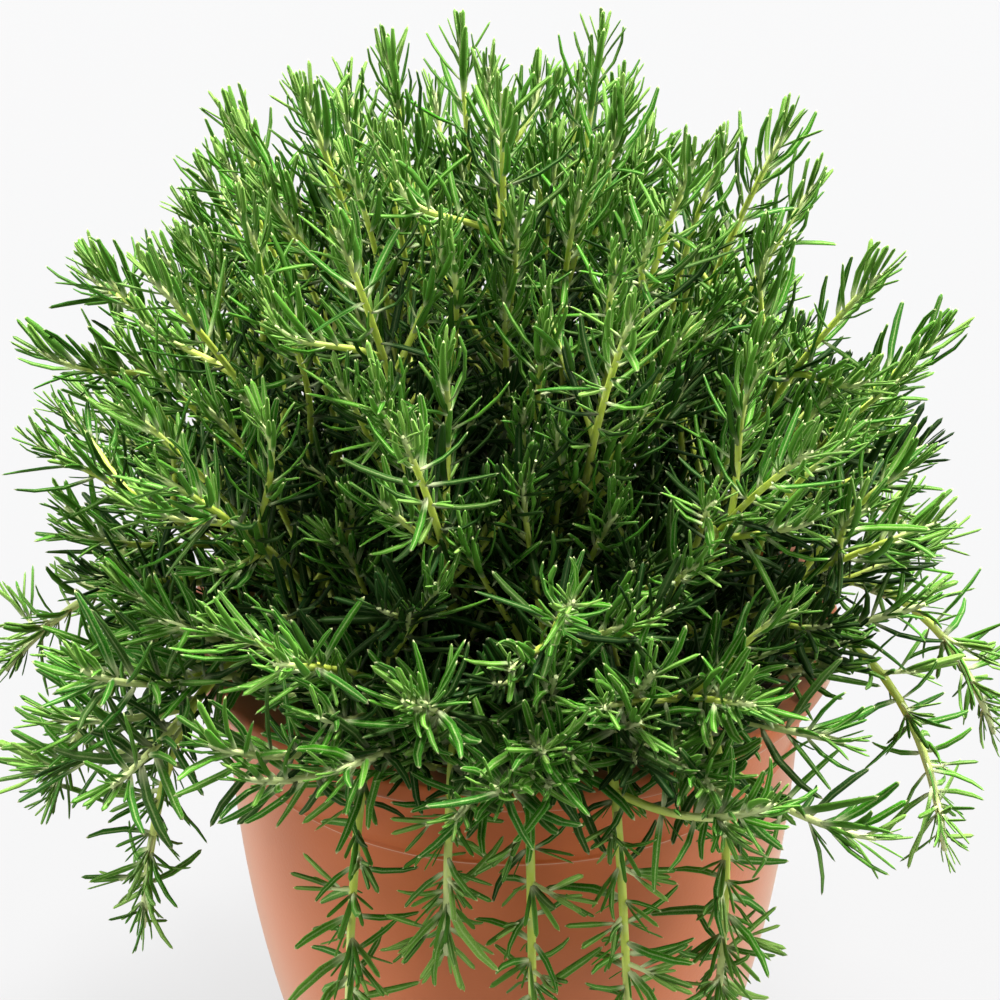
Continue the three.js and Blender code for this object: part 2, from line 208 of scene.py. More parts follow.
# Pot: one round pot moulded in terracotta coloured plastic with a satin face. It has a deep lip to
# lift it by, a thin raised ring round the upper wall, a wall that rounds in towards the base, and
# six drain holes in its flat bottom.
LIP_HEIGHT = 8
LIP_ROUND = 2
UNDER_LIP_ROUND = 2
INNER_EDGE_ROUND = 3
WALL_RADIUS = 102.5
WALL_THICKNESS = 3
WALL_CURVE = 0.00092
WALL_LEVELS = 28
ABOVE_RING = (4, 12)
RING_DEPTH = 36
RING_PROUD = 0.8
RING_HALF_HEIGHT = 1.2
BASE_THICKNESS = 3.4
BASE_ROUND = 2.5
INSIDE_ROUND = 3
INSIDE_LEVELS = range(20, 190, 20)
DRAIN_COUNT = 6
DRAIN_RADIUS = 4
DRAIN_CIRCLE = 45
DRAIN_SIDES = 24
POT_SIDES = 160
POT_COLOUR = (0.455, 0.096, 0.016, 1)
POT_WORN = (0.48, 0.117, 0.026, 1)
POT_BLOOM = (0.62, 0.92, 0.84, 1)
POT_CLOUDS = 14.0
POT_GRAIN = 900.0
POT_FINISH = {
    "Roughness": 0.48,
    "Specular IOR Level": 0.2,
    "Sheen Weight": 0.55,
    "Sheen Tint": POT_BLOOM,
    "Sheen Roughness": 0.45,
}

pot_height = rim_height / MM
rim_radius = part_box("pot")[1][0] / MM


def wall_radius(z):
    """The outer radius in millimetres: upright below the lip, then in faster and faster."""
    below = max(0, pot_height - z - RING_DEPTH)
    return WALL_RADIUS - WALL_CURVE * below * below


def ring_bump(z):
    """How far the raised ring stands out at a height."""
    off = abs(z - (pot_height - RING_DEPTH)) / RING_HALF_HEIGHT
    return RING_PROUD * (0.5 + 0.5 * math.cos(math.pi * off)) if off < 1 else 0


def arc(centre, radius, start, end, steps=4):
    """Points on a round corner of a profile, from one angle in degrees to the other."""
    turned = [math.radians(start + (end - start) * k / steps) for k in range(steps + 1)]
    return [(centre[0] + radius * math.cos(a), centre[1] + radius * math.sin(a)) for a in turned]


def ring_points(radius, z, sides):
    """The points of a level ring in metres, from its radius and height in millimetres."""
    turns = [2 * math.pi * k / sides for k in range(sides)]
    return [(radius * MM * math.cos(a), radius * MM * math.sin(a), z * MM) for a in turns]


def stacked_rings(name, points, sides):
    """A mesh of rings of points in their order, closed by the first and the last point of all."""
    top = len(points) - 1 - sides
    faces = []
    for k in range(sides):
        after = (k + 1) % sides
        faces.append((0, 1 + after, 1 + k))
        for low in range(1, top, sides):
            high = low + sides
            faces.append((low + k, low + after, high + after, high + k))
        faces.append((len(points) - 1, top + k, top + after))
    return mesh_object(name, points, faces)


def made_plain(made, name):
    """The object with its modifiers applied, as a plain mesh under a new name."""
    evaluated = made.evaluated_get(bpy.context.evaluated_depsgraph_get())
    mesh = bpy.data.meshes.new_from_object(evaluated)
    mesh.name = name
    plain = bpy.data.objects.new(name, mesh)
    bpy.context.collection.objects.link(plain)
    bpy.data.objects.remove(made)
    return plain


lip_bottom = pot_height - LIP_HEIGHT
under_lip = lip_bottom - LIP_ROUND
ring_z = pot_height - RING_DEPTH
lower_wall = ring_z - 2 - BASE_ROUND
wall_zs = [BASE_ROUND + lower_wall * k / WALL_LEVELS for k in range(WALL_LEVELS + 1)]
wall_zs += [ring_z + RING_HALF_HEIGHT * k / 4 for k in range(-4, 5)]
wall_zs += [ring_z + step for step in ABOVE_RING]
wall_zs.append(under_lip - 1)
outside = [(wall_radius(z) + ring_bump(z), z) for z in wall_zs]
foot = wall_radius(0) - BASE_ROUND
inside_zs = [BASE_THICKNESS + INSIDE_ROUND, *INSIDE_LEVELS, pot_height - INNER_EDGE_ROUND]
inside = [(wall_radius(z) - WALL_THICKNESS, z) for z in reversed(inside_zs)]
drained = DRAIN_CIRCLE + 2 * DRAIN_RADIUS
pot_profile = [
    (drained, 0),
    *arc((foot, BASE_ROUND), BASE_ROUND, -90, -20),
    *outside[1:],
    *arc((WALL_RADIUS + UNDER_LIP_ROUND, under_lip), UNDER_LIP_ROUND, 180, 90)[1:],
    *arc((rim_radius - LIP_ROUND, lip_bottom + LIP_ROUND), LIP_ROUND, -90, 0),
    *arc((rim_radius - LIP_ROUND, pot_height - LIP_ROUND), LIP_ROUND, 0, 90),
    *arc((WALL_RADIUS, pot_height - INNER_EDGE_ROUND), INNER_EDGE_ROUND, 90, 180)[:-1],
    *inside,
    (wall_radius(BASE_THICKNESS) - WALL_THICKNESS - INSIDE_ROUND, BASE_THICKNESS),
    (drained, BASE_THICKNESS),
]
pot_points = [(0, 0, 0)]
for radius, z in pot_profile:
    pot_points += ring_points(radius, z, POT_SIDES)
pot_points.append((0, 0, BASE_THICKNESS * MM))
pot = stacked_rings("moulded_pot", pot_points, POT_SIDES)

drill_points = []
drill_faces = []
for i in range(DRAIN_COUNT):
    a = 2 * math.pi * i / DRAIN_COUNT
    at = Vector((math.sin(a), -math.cos(a), 0)) * DRAIN_CIRCLE * MM
    low = len(drill_points)
    high = low + DRAIN_SIDES
    for z in (-BASE_THICKNESS, 2 * BASE_THICKNESS):
        for k in range(DRAIN_SIDES):
            b = 2 * math.pi * k / DRAIN_SIDES
            round_hole = Vector((math.cos(b), math.sin(b), 0)) * DRAIN_RADIUS * MM
            drill_points.append(at + round_hole + Vector((0, 0, z * MM)))
    drill_faces.append([low + k for k in reversed(range(DRAIN_SIDES))])
    drill_faces.append([high + k for k in range(DRAIN_SIDES)])
    for k in range(DRAIN_SIDES):
        after = (k + 1) % DRAIN_SIDES
        drill_faces.append((low + k, low + after, high + after, high + k))
drill = mesh_object("drain_drill", drill_points, drill_faces)
cut = pot.modifiers.new("drains", "BOOLEAN")
cut.operation = "DIFFERENCE"
cut.solver = "EXACT"
cut.object = drill
bpy.context.view_layer.update()
pot = made_plain(pot, "pot_moulded")
bpy.data.objects.remove(drill)
make_smooth(pot.data)


def noise(tree, place, scale, detail):
    inputs = {"Vector": place, "Scale": scale, "Detail": detail}
    return add_node(tree, "ShaderNodeTexNoise", inputs).outputs["Fac"]


def blend_colour(tree, factor, a, b):
    mix = add_node(tree, "ShaderNodeMix", {"Factor": factor, "A": a, "B": b}, data_type="RGBA")
    return mix.outputs["Result"]


def add_relief(tree, shader, height, strength, depth):
    """Gives a surface the relief of a pattern, as deep as a length in metres."""
    inputs = {"Height": height, "Strength": strength, "Distance": depth}
    tree.links.new(output_of(tree, "ShaderNodeBump", inputs), shader.inputs["Normal"])


pot_material, tree, shader = new_material("terracotta_plastic", POT_FINISH)
place = add_node(tree, "ShaderNodeTexCoord").outputs["Object"]
cloudy = noise(tree, place, POT_CLOUDS, 5.0)
tree.links.new(blend_colour(tree, cloudy, POT_COLOUR, POT_WORN), shader.inputs["Base Color"])
add_relief(tree, shader, noise(tree, place, POT_GRAIN, 3.0), 0.12, 0.4 * MM)
pot.data.materials.append(pot_material)
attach(pot, "root")
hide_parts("pot")

# Soil: dark potting mix of bark and peat that fills the pot to a little below its rim. It is poured in
# round the stems and heaps gently in the middle, with crumbs lying loose on top.
SOIL_DEPTH = 18
SOIL_CROWN = 4
SOIL_GAP = 0.35
SOIL_SINK = 0.6
SOIL_FLATTER = 1.6
SOIL_SIDES = 96
SOIL_RINGS = 30
SOIL_LEVELS = (20, 60, 100, 140)
SOIL_LOWEST_ROUND = 8
SOIL_FOOT_IN = 2
SOIL_WAVES = 26
WAVE_PACE = (60, 260)
WAVE_HEIGHT = (0.1, 0.32)
CRUMBS = 700
CRUMB_SIZE = (0.5, 1.9)
CRUMB_LUMPS = (0.7, 1.15)
CRUMB_EDGE = 4
CRUMB_TURN = (6.28, 6.28, 6.28)
CRUMB_SEED = 12
SOIL_SEED = 4711
SOIL_DARK = (0.014, 0.009, 0.006, 1)
SOIL_BROWN = (0.055, 0.034, 0.021, 1)
SOIL_LUMPS = 260.0
SOIL_SPOTS = 420.0


def draws(seed):
    """Seeded draws between two values."""
    state = seed

    def draw(low=0.0, high=1.0):
        nonlocal state
        state = state * 16807 % 2147483647
        return low + (high - low) * state / 2147483647

    return draw


soil_edge = pot_height - SOIL_DEPTH
soil_bottom = BASE_THICKNESS + SOIL_GAP
soil_radius = wall_radius(soil_edge) - WALL_THICKNESS - SOIL_GAP
draw = draws(SOIL_SEED)
waves = [
    (draw(*WAVE_PACE), draw(0, 2 * math.pi), draw(0, 2 * math.pi), draw(*WAVE_HEIGHT))
    for _ in range(SOIL_WAVES)
]


def soil_surface(x, y):
    """The height of the soil in millimetres, heaped in the middle and crumbly all over."""
    share = math.hypot(x, y) / (wall_radius(soil_edge) - WALL_THICKNESS)
    height = soil_edge + (SOIL_CROWN - SOIL_FLATTER) * (1 - share * share)
    for pace, turn, start, size in waves:
        along = x * math.cos(turn) + y * math.sin(turn)
        height += size * math.sin(along * pace * 0.01 + start)
    return height - SOIL_SINK


def on_soil(r, a):
    """A point of the soil's surface in metres, at a radius in millimetres and an angle."""
    x, y = r * math.cos(a), r * math.sin(a)
    return x * MM, y * MM, soil_surface(x, y) * MM


soil_points = [(0, 0, soil_bottom * MM)]
for z in (soil_bottom, *SOIL_LEVELS):
    r = wall_radius(max(z, SOIL_LOWEST_ROUND)) - WALL_THICKNESS - SOIL_GAP
    r -= SOIL_FOOT_IN if z == soil_bottom else 0
    soil_points += ring_points(r, z, SOIL_SIDES)
for ring in range(SOIL_RINGS):
    r = soil_radius * (1 - ring / SOIL_RINGS)
    turns = [2 * math.pi * (k + 0.5 * (ring % 2)) / SOIL_SIDES for k in range(SOIL_SIDES)]
    soil_points += [on_soil(r, a) for a in turns]
soil_points.append(on_soil(0, 0))
soil = stacked_rings("potting_soil", soil_points, SOIL_SIDES)

shape = bmesh.new()
bmesh.ops.create_icosphere(shape, subdivisions=1, radius=1.0)
for vertex in shape.verts:
    vertex.co = vertex.co * draw(*CRUMB_LUMPS)
crumb = mesh_object("soil_crumb", [], [])
shape.to_mesh(crumb.data)
shape.free()

crumb_points = []
crumb_sizes = []
for _ in range(CRUMBS):
    r = (soil_radius - CRUMB_EDGE) * math.sqrt(draw())
    crumb_points.append(on_soil(r, draw(0, 2 * math.pi)))
    crumb_sizes.append(draw(*CRUMB_SIZE) * MM)
scatter = mesh_object("soil_crumbs", crumb_points, [])
scatter.data.attributes.new("size", "FLOAT", "POINT").data.foreach_set("value", crumb_sizes)

soil_material, tree, shader = new_material("potting_soil", {"Roughness": 0.95})
place = add_node(tree, "ShaderNodeTexCoord").outputs["Object"]
lumps = noise(tree, place, SOIL_LUMPS, 8.0)
spots = add_node(tree, "ShaderNodeTexVoronoi", {"Vector": place, "Scale": SOIL_SPOTS})
tree.links.new(blend_colour(tree, lumps, SOIL_DARK, SOIL_BROWN), shader.inputs["Base Color"])
add_relief(tree, shader, spots.outputs["Distance"], 0.8, 1 * MM)


def new_tree(name, inputs):
    """A geometry tree with named inputs. Returns the tree, its input sockets and their identifiers."""
    tree = bpy.data.node_groups.new(name, "GeometryNodeTree")
    identifiers = {}
    for label, kind in inputs.items():
        made = tree.interface.new_socket(label, in_out="INPUT", socket_type="NodeSocket" + kind)
        identifiers[label] = made.identifier
    tree.interface.new_socket("Geometry", in_out="OUTPUT", socket_type="NodeSocketGeometry")
    return tree, tree.nodes.new("NodeGroupInput").outputs, identifiers


def attribute(tree, name, kind):
    """A named value that the geometry carries."""
    return output_of(tree, "GeometryNodeInputNamedAttribute", {"Name": name}, data_type=kind)


def in_material(tree, geometry, material):
    return output_of(tree, "GeometryNodeSetMaterial", {"Geometry": geometry, "Material": material})


crumb_tree, given, ids = new_tree(
    "scattered_crumbs",
    {"Geometry": "Geometry", "Crumb": "Object", "Seed": "Int", "Soil": "Material"},
)
one = add_node(crumb_tree, "GeometryNodeObjectInfo", {"Object": given["Crumb"]})
turns = {"Max": CRUMB_TURN, "Seed": given["Seed"]}
spin = output_of(crumb_tree, "FunctionNodeRandomValue", turns, data_type="FLOAT_VECTOR")
laid = output_of(
    crumb_tree,
    "GeometryNodeInstanceOnPoints",
    {
        "Points": given["Geometry"],
        "Instance": one.outputs["Geometry"],
        "Rotation": spin,
        "Scale": attribute(crumb_tree, "size", "FLOAT"),
    },
)
real = output_of(crumb_tree, "GeometryNodeRealizeInstances", {"Geometry": laid})
add_node(crumb_tree, "NodeGroupOutput", {"Geometry": in_material(crumb_tree, real, given["Soil"])})
modifier = scatter.modifiers.new("crumbs", "NODES")
modifier.node_group = crumb_tree
modifier[ids["Crumb"]] = crumb
modifier[ids["Seed"]] = CRUMB_SEED
modifier[ids["Soil"]] = soil_material
crumbs = made_plain(scatter, "soil_crumbs_plain")
bpy.data.objects.remove(crumb)

joined = bmesh.new()
joined.from_mesh(soil.data)
joined.from_mesh(crumbs.data)
joined.to_mesh(soil.data)
joined.free()
bpy.data.objects.remove(crumbs)
make_smooth(soil.data)
soil.data.materials.append(soil_material)
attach(soil, "root")
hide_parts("soil")

# Leafy stems of the dome: thirty stems of rosemary that rise from the soil and spread into a ball,
# each with long side shoots and short inner ones. Needle leaves stand in crossed pairs, with small
# bunches in their axils, and crowd round the bud at each tip.
CROWN_HEIGHT = 43
CROWN_SHIFT_X = -4
CROWN_RADIUS = 161
CROWN_SPREAD = 14
DOME_STEMS = 30
DOME_POLAR_END = 88
DOME_SOIL_RADIUS = 74
DOME_RISE_OUT = 19
DOME_RISE_UP = 50
DOME_LAST_STRETCH = 80
DOME_BEND_UP = 0.45
DOME_LEAFY_LENGTH = 88
DOME_STEM_RADII = (1.6, 0.85)
STEM_IN_SOIL = 12
GOLDEN_ANGLE = 137.508
UP = Vector((0, 0, 1))
DOME_CENTRE = Vector((CROWN_SHIFT_X, 0, pot_height + CROWN_HEIGHT))


def toward(radius, azimuth, z):
    """A point at a radius and azimuth. Azimuth 0 is the front, and it grows to the right."""
    a = math.radians(azimuth)
    return Vector((radius * math.sin(a), -radius * math.cos(a), z))


# A needle leaf is a narrow blade with a groove along its top, rolled edges and a pale underside. A
# section's points are (across, up, way round), its stations (share of the length, share of the width),
# and its bends (bend, swerve, twist) in degrees. Broad needles sit on the trailing stems.
GROWN_SECTION = [
    (0.5, 0.0, 0.0),
    (0.28, 0.22, 0.12),
    (0.0, 0.12, 0.25),
    (-0.28, 0.22, 0.38),
    (-0.5, 0.0, 0.5),
    (0.0, -0.2, 0.75),
]
GROWN_STATIONS = [(0.0, 0.4), (0.1, 0.78), (0.4, 1.0), (0.74, 0.9), (0.95, 0.58)]
YOUNG_SECTION = [(0.5, 0.0, 0.0), (0.0, 0.22, 0.25), (-0.5, 0.0, 0.5), (0.0, -0.22, 0.75)]
YOUNG_STATIONS = [(0.0, 0.5), (0.45, 1.0), (0.9, 0.84)]
NEEDLES = {
    "grown": {
        "length": 24,
        "width": 2.35,
        "section": GROWN_SECTION,
        "stations": GROWN_STATIONS,
        "bends": [(40, 0, 0), (54, 6, 20), (72, -6, -15), (48, 9, 10), (22, -8, -25), (-12, -6, 30)],
    },
    "young": {
        "length": 10,
        "width": 1.2,
        "section": YOUNG_SECTION,
        "stations": YOUNG_STATIONS,
        "bends": [(6, 0, 0), (26, 6, 10), (-6, -6, -10)],
    },
    "broad": {
        "length": 22,
        "width": 2.55,
        "section": GROWN_SECTION,
        "stations": GROWN_STATIONS,
        "bends": [(20, 40, 15), (-12, -36, -20), (34, 14, 25), (-24, 26, -15)],
    },
}
MAP = "OFBake"


def needle_shape(name, needle, bend, swerve, twist):
    """A needle that starts at the origin along +X, with its top to +Z."""
    section = needle["section"]
    stations = needle["stations"]
    points = []
    centre = Vector((0, 0, 0))
    before = 0
    for share, wide in [*stations, (1, 0)]:
        pitch = math.radians(bend) * (share + before) / 2
        yaw = math.radians(swerve) * (share + before) / 2
        along = Vector((math.cos(pitch) * math.cos(yaw), math.sin(yaw), math.sin(pitch)))
        centre = centre + along * (share - before) * needle["length"] * MM
        before = share
        if wide == 0:
            points.append(centre)
            continue
        tilt = Quaternion((0, 1, 0), -math.radians(bend) * share)
        roll = Quaternion((1, 0, 0), math.radians(twist) * share)
        for y, z, _ in section:
            offset = Vector((0, y, z)) * wide * needle["width"] * MM
            points.append(centre + tilt @ (roll @ offset))
    count = len(section)
    ways_round = [way_round for _, _, way_round in section]
    faces = [list(range(count))]
    maps = [[(u, 0.0) for u in ways_round]]
    ways_round.append(1.0)
    for n in range(len(stations) - 1):
        low, high = n * count, (n + 1) * count
        v0, v1 = stations[n][0], stations[n + 1][0]
        for k in range(count):
            after = (k + 1) % count
            u0, u1 = ways_round[k], ways_round[k + 1]
            faces.append((low + k, high + k, high + after, low + after))
            maps.append([(u0, v0), (u0, v1), (u1, v1), (u1, v0)])
    top = (len(stations) - 1) * count
    v0 = stations[-1][0]
    for k in range(count):
        after = (k + 1) % count
        u0, u1 = ways_round[k], ways_round[k + 1]
        faces.append((top + k, len(points) - 1, top + after))
        maps.append([(u0, v0), ((u0 + u1) / 2, 1.0), (u1, v0)])
    made = mesh_object(name, points, faces)
    flat = [value for face in maps for corner in face for value in corner]
    made.data.uv_layers.new(name=MAP).data.foreach_set("uv", flat)
    return made, (points[count * (len(stations) // 2)] / MM, points[-1] / MM)


needle_ends = []
first_shape = {}
needle_shapes = bpy.data.collections.new("needle_shapes")
bpy.context.scene.collection.children.link(needle_shapes)
for kind, needle in NEEDLES.items():
    first_shape[kind] = len(needle_ends)
    for bends in needle["bends"]:
        made, ends = needle_shape(f"needle_{len(needle_ends):02d}_{kind}", needle, *bends)
        needle_ends.append(ends)
        bpy.context.collection.objects.unlink(made)
        needle_shapes.objects.link(made)


class Shoot:
    """One growing line of the plant, from its foot to its bud, with side directions that don't twist."""

    STEPS = 60
    ANY_WAY = Vector((1, 0.3, 0))

    def __init__(self, controls, foot_radius, tip_radius):
        self.points = [self.on_curve(controls, k / self.STEPS) for k in range(self.STEPS + 1)]
        self.reached = [0.0]
        for a, b in zip(self.points, self.points[1:]):
            self.reached.append(self.reached[-1] + (b - a).length)
        self.length = self.reached[-1]
        self.foot_radius = foot_radius
        self.tip_radius = tip_radius
        self.tangents = []
        for k in range(self.STEPS + 1):
            a, b = self.points[max(0, k - 1)], self.points[min(self.STEPS, k + 1)]
            self.tangents.append((b - a).normalized())
        side = self.tangents[0].cross(self.ANY_WAY).normalized()
        self.sides = []
        for tangent in self.tangents:
            side = (side - tangent * side.dot(tangent)).normalized()
            self.sides.append(side)

    @staticmethod
    def on_curve(controls, share):
        points = list(controls)
        while len(points) > 1:
            points = [a.lerp(b, share) for a, b in zip(points, points[1:])]
        return points[0]

    def at(self, to_tip):
        """The point, tangent, two side directions and radius at a distance from the tip."""
        reach = max(0.0, min(self.length, self.length - to_tip))
        k = 0
        while k < self.STEPS - 1 and self.reached[k + 1] < reach:
            k += 1
        share = (reach - self.reached[k]) / max(1e-9, self.reached[k + 1] - self.reached[k])
        tangent = self.tangents[k].lerp(self.tangents[k + 1], share).normalized()
        side = self.sides[k].lerp(self.sides[k + 1], share)
        side = (side - tangent * side.dot(tangent)).normalized()
        radius = self.foot_radius + (self.tip_radius - self.foot_radius) * reach / self.length
        return self.points[k].lerp(self.points[k + 1], share), tangent, side, tangent.cross(side), radius

    def from_foot(self, share):
        """The same at a share of the length from the foot."""
        return self.at(self.length * (1 - share))


def spaced(span, place, count):
    """A place out of a count, spread evenly over a span of shares."""
    return span[0] + (span[1] - span[0]) * place / count


def clear_of_pot(point, margin):
    """True if a point in millimetres lies outside the pot and above the soil and the floor."""
    r = math.hypot(point.x, point.y)
    if point.z > pot_height + margin or r > rim_radius + margin:
        return point.z > margin
    if point.z > soil_edge + SOIL_CROWN and r < wall_radius(point.z) - WALL_THICKNESS - margin:
        return True
    outer = rim_radius if point.z > under_lip - margin else wall_radius(point.z)
    return r > outer + margin and point.z > margin


BOX_MARGIN = 0.4
TIP_MARGIN = 9
box_low = [edge / MM + BOX_MARGIN for edge in cad_box[0]]
box_high = [edge / MM - BOX_MARGIN for edge in cad_box[1]]


def inside_box(point):
    return all(low < value < high for low, value, high in zip(box_low, point, box_high))


def kept_inside(point):
    """The point, moved in where a shoot that ends there would carry needles out of the model."""
    low = [edge + TIP_MARGIN for edge in box_low]
    high = [edge - TIP_MARGIN for edge in box_high]
    return Vector(min(max(value, a), b) for value, a, b in zip(point, low, high))


# What each point carries, with its kind of value and the value on a point that is no needle. The map
# of every needle and stem is one square of cells. A needle lies in the cell of its age, with painted
# shade added, and of its tint, with the way round it across the cell and the way along it up the cell.
# Stems lie in the top row.
POINT_VALUES = {
    "aim": ("FLOAT_VECTOR", (1, 0, 0)),
    "face": ("FLOAT_VECTOR", (0, 0, 1)),
    "size": ("FLOAT", 0.0),
    "shape": ("INT", -1),
    "cell": ("FLOAT_VECTOR", (0, 0, 0)),
    "thickness": ("FLOAT", 0.0),
}
CELLS = 6
CELL_MARGIN = 0.06
TINTS = 5
BELOW_ONE = 0.999
BELOW_STEP = 0.01
AGE_BLUR = (-0.8, 0.8)
BUD_DISTANCE = 0.3
BUD_THICKNESS = 0.75
NODE_THICKNESS = 1.12
NODE_APART = 4
NODE_TO_FOOT = 2
SHORTENED = (1.0, 0.8, 0.62)
NEEDLE_CLEAR = 1.5


class Foliage:
    """What one piece of the plant grows: the lines of its shoots and the places of its needles."""

    def __init__(self, seed):
        self.draw = draws(seed)
        self.draw()
        self.draw()
        self.points = []
        self.edges = []
        self.values = {label: [] for label in POINT_VALUES}

    def add_point(self, point, **values):
        self.points.append(point * MM)
        for label, (_, plain) in POINT_VALUES.items():
            self.values[label].append(values.get(label, plain))
        return len(self.points) - 1

    def add_line(self, shoot, node_distances, woody_length):
        """The shoot as a line of points, thicker at its nodes and thinner to its tip."""
        distances = {BUD_DISTANCE: BUD_THICKNESS, shoot.length: 1.0}
        last = BUD_DISTANCE
        for d in node_distances:
            if last + NODE_APART < d < shoot.length - NODE_TO_FOOT:
                distances[d] = NODE_THICKNESS
                last = d
        column = int(self.draw(0, CELLS - BELOW_STEP))
        before = None
        for d in sorted(distances):
            point, _, _, _, radius = shoot.at(d)
            cell = (column, CELLS - 1, min(BELOW_ONE, d / woody_length))
            made = self.add_point(point, cell=cell, thickness=radius * distances[d])
            if before is not None:
                self.edges.append((made, before))
            before = made

    def add_needle(self, root, aim, face, length, kind, age_and_shade):
        """A needle, shortened or left out where it would run into the pot or out of the model."""
        needle = NEEDLES[kind]
        shape = first_shape[kind] + int(self.draw(0, len(needle["bends"]) - BELOW_STEP))
        size = length / needle["length"]
        sideways = face.cross(aim)
        ends = [aim * end.x + sideways * end.y + face * end.z for end in needle_ends[shape]]
        for share in SHORTENED:
            middle, tip = [root + end * size * share for end in ends]
            if inside_box(tip) and all(clear_of_pot(end, NEEDLE_CLEAR) for end in (tip, middle)):
                break
        else:
            return
        column = min(CELLS - 1, max(0, int(age_and_shade * CELLS + self.draw(*AGE_BLUR))))
        row = int(self.draw(0, TINTS - BELOW_STEP))
        self.add_point(root, aim=aim, face=face, size=size * share, shape=shape, cell=(column, row, 0))


# How needles stand along a shoot, from its tip down. They open out, grow longer and stand further
# apart with the distance from the tip. Old needles have dropped near the end of the leafy length.
FIRST_NODE = 1.2
NODE_STEP_TIP = 2.1
NODE_STEP_GROWTH = 0.1
NODE_STEP_MOST = 10.5
NODE_UNEVEN = 0.15
BARE_FOOT = 3
WOODY_FOOT = 14
TIP_ANGLE = 16
OLD_ANGLE = 76
OPEN_FROM = 38
FULL_SIZE_FROM = 17
YOUNGEST_SHARE = 0.42
GROWN_FROM = 9
SHED_FROM = 0.75
SHED_RATE = 1.6
PAIR_SWING = (-14, 14)
ANGLE_SWING = (-12, 16)
NEXT_PAIR_SWING = (-7, 7)
DROOP = (0, 0.7)
LIFT_LEAST = 0.05
LIFT_MOST = 0.42
LIFT_LOST_UPRIGHT = 0.75
FACE_ALONG = 0.6
FACE_AWAY = 1.4
FACE_UP = 0.6
ROOT_OUT = 0.6
LONGEST = 1.2
SHORTEST = 0.78
SHORTER_HANGING = 0.25
UNEVEN_HANGING = 0.35
BUNCHES = 0.65
BUNCH_OPENED = (0.5, 0.9)
BUNCH_WOBBLE = (-0.1, 0.1)
BUNCH_FACE_ALONG = 0.2
BUNCH_MORE_HANGING = 1.4
BUNCH_LONGER_HANGING = 4
BUNCH_TIP_SHARE = 0.5
BUNCH_GROWS_OVER = 40
BUNCH_MOST = 2.99
BUNCH_FAN = (10, 17)
BUNCH_LENGTH = (7, 15)
BUNCH_AGE = (0, 0.4)
# Needles of inner shoots are painted nearly black, as painted shade.
INNER_PAINTED_SHADE = 0.95
AGE_LENGTH = 60
WOODY_LENGTH = 160
# Painted shade: needles low on the plant and deep inside the crown are painted older, so darker.
SHADE_FROM = 150
SHADE_TO = 20
SHADE_AGE = 0.14
DEPTH_PAINTED_SHADE = 0.14
DEPTH_FROM = 0.14
DEPTH_TO = 0.5


def painted_shade_age(point):
    """Painted shade for needles low on the plant and deep inside it: how much older, so darker, they are
    painted.
    """
    down = (pot_height + SHADE_FROM - point.z) / (SHADE_FROM - SHADE_TO)
    depth = 1 - (point - DOME_CENTRE).length / CROWN_RADIUS
    inward = (depth - DEPTH_FROM) / (DEPTH_TO - DEPTH_FROM)
    return SHADE_AGE * max(0, min(1, down)) + DEPTH_PAINTED_SHADE * max(0, min(1, inward))


def mixed_aim(tangent, outward, degrees):
    a = math.radians(degrees)
    return tangent * math.cos(a) + outward * math.sin(a)


def square_to(direction, aim):
    """The direction, turned as little as it takes to stand square to the aim."""
    return (direction - aim * direction.dot(aim)).normalized()


def add_bunch(foliage, root, tangent, outward, opened, distance, shade, vigour, hang):
    """A small fan of young needles in the axil of a grown one."""
    draw = foliage.draw
    count = 1 + int(draw(0, BUNCH_MOST) + BUNCH_MORE_HANGING * hang)
    middle = mixed_aim(tangent, outward, opened * draw(*BUNCH_OPENED))
    swing = tangent.cross(outward)
    for n in range(count):
        fan = (n - (count - 1) / 2) * draw(*BUNCH_FAN) * (1 + hang)
        little = middle + swing * math.tan(math.radians(fan)) + outward * draw(*BUNCH_WOBBLE)
        little = little.normalized()
        face = square_to(-outward + tangent * BUNCH_FACE_ALONG, little)
        shortest, longest = BUNCH_LENGTH
        length = vigour * draw(shortest, longest + BUNCH_LONGER_HANGING * hang)
        length *= min(1, BUNCH_TIP_SHARE + distance / BUNCH_GROWS_OVER)
        # The bunch's needles carry the painted shade of their place.
        foliage.add_needle(root, little, face, length, "young", draw(*BUNCH_AGE) + shade)


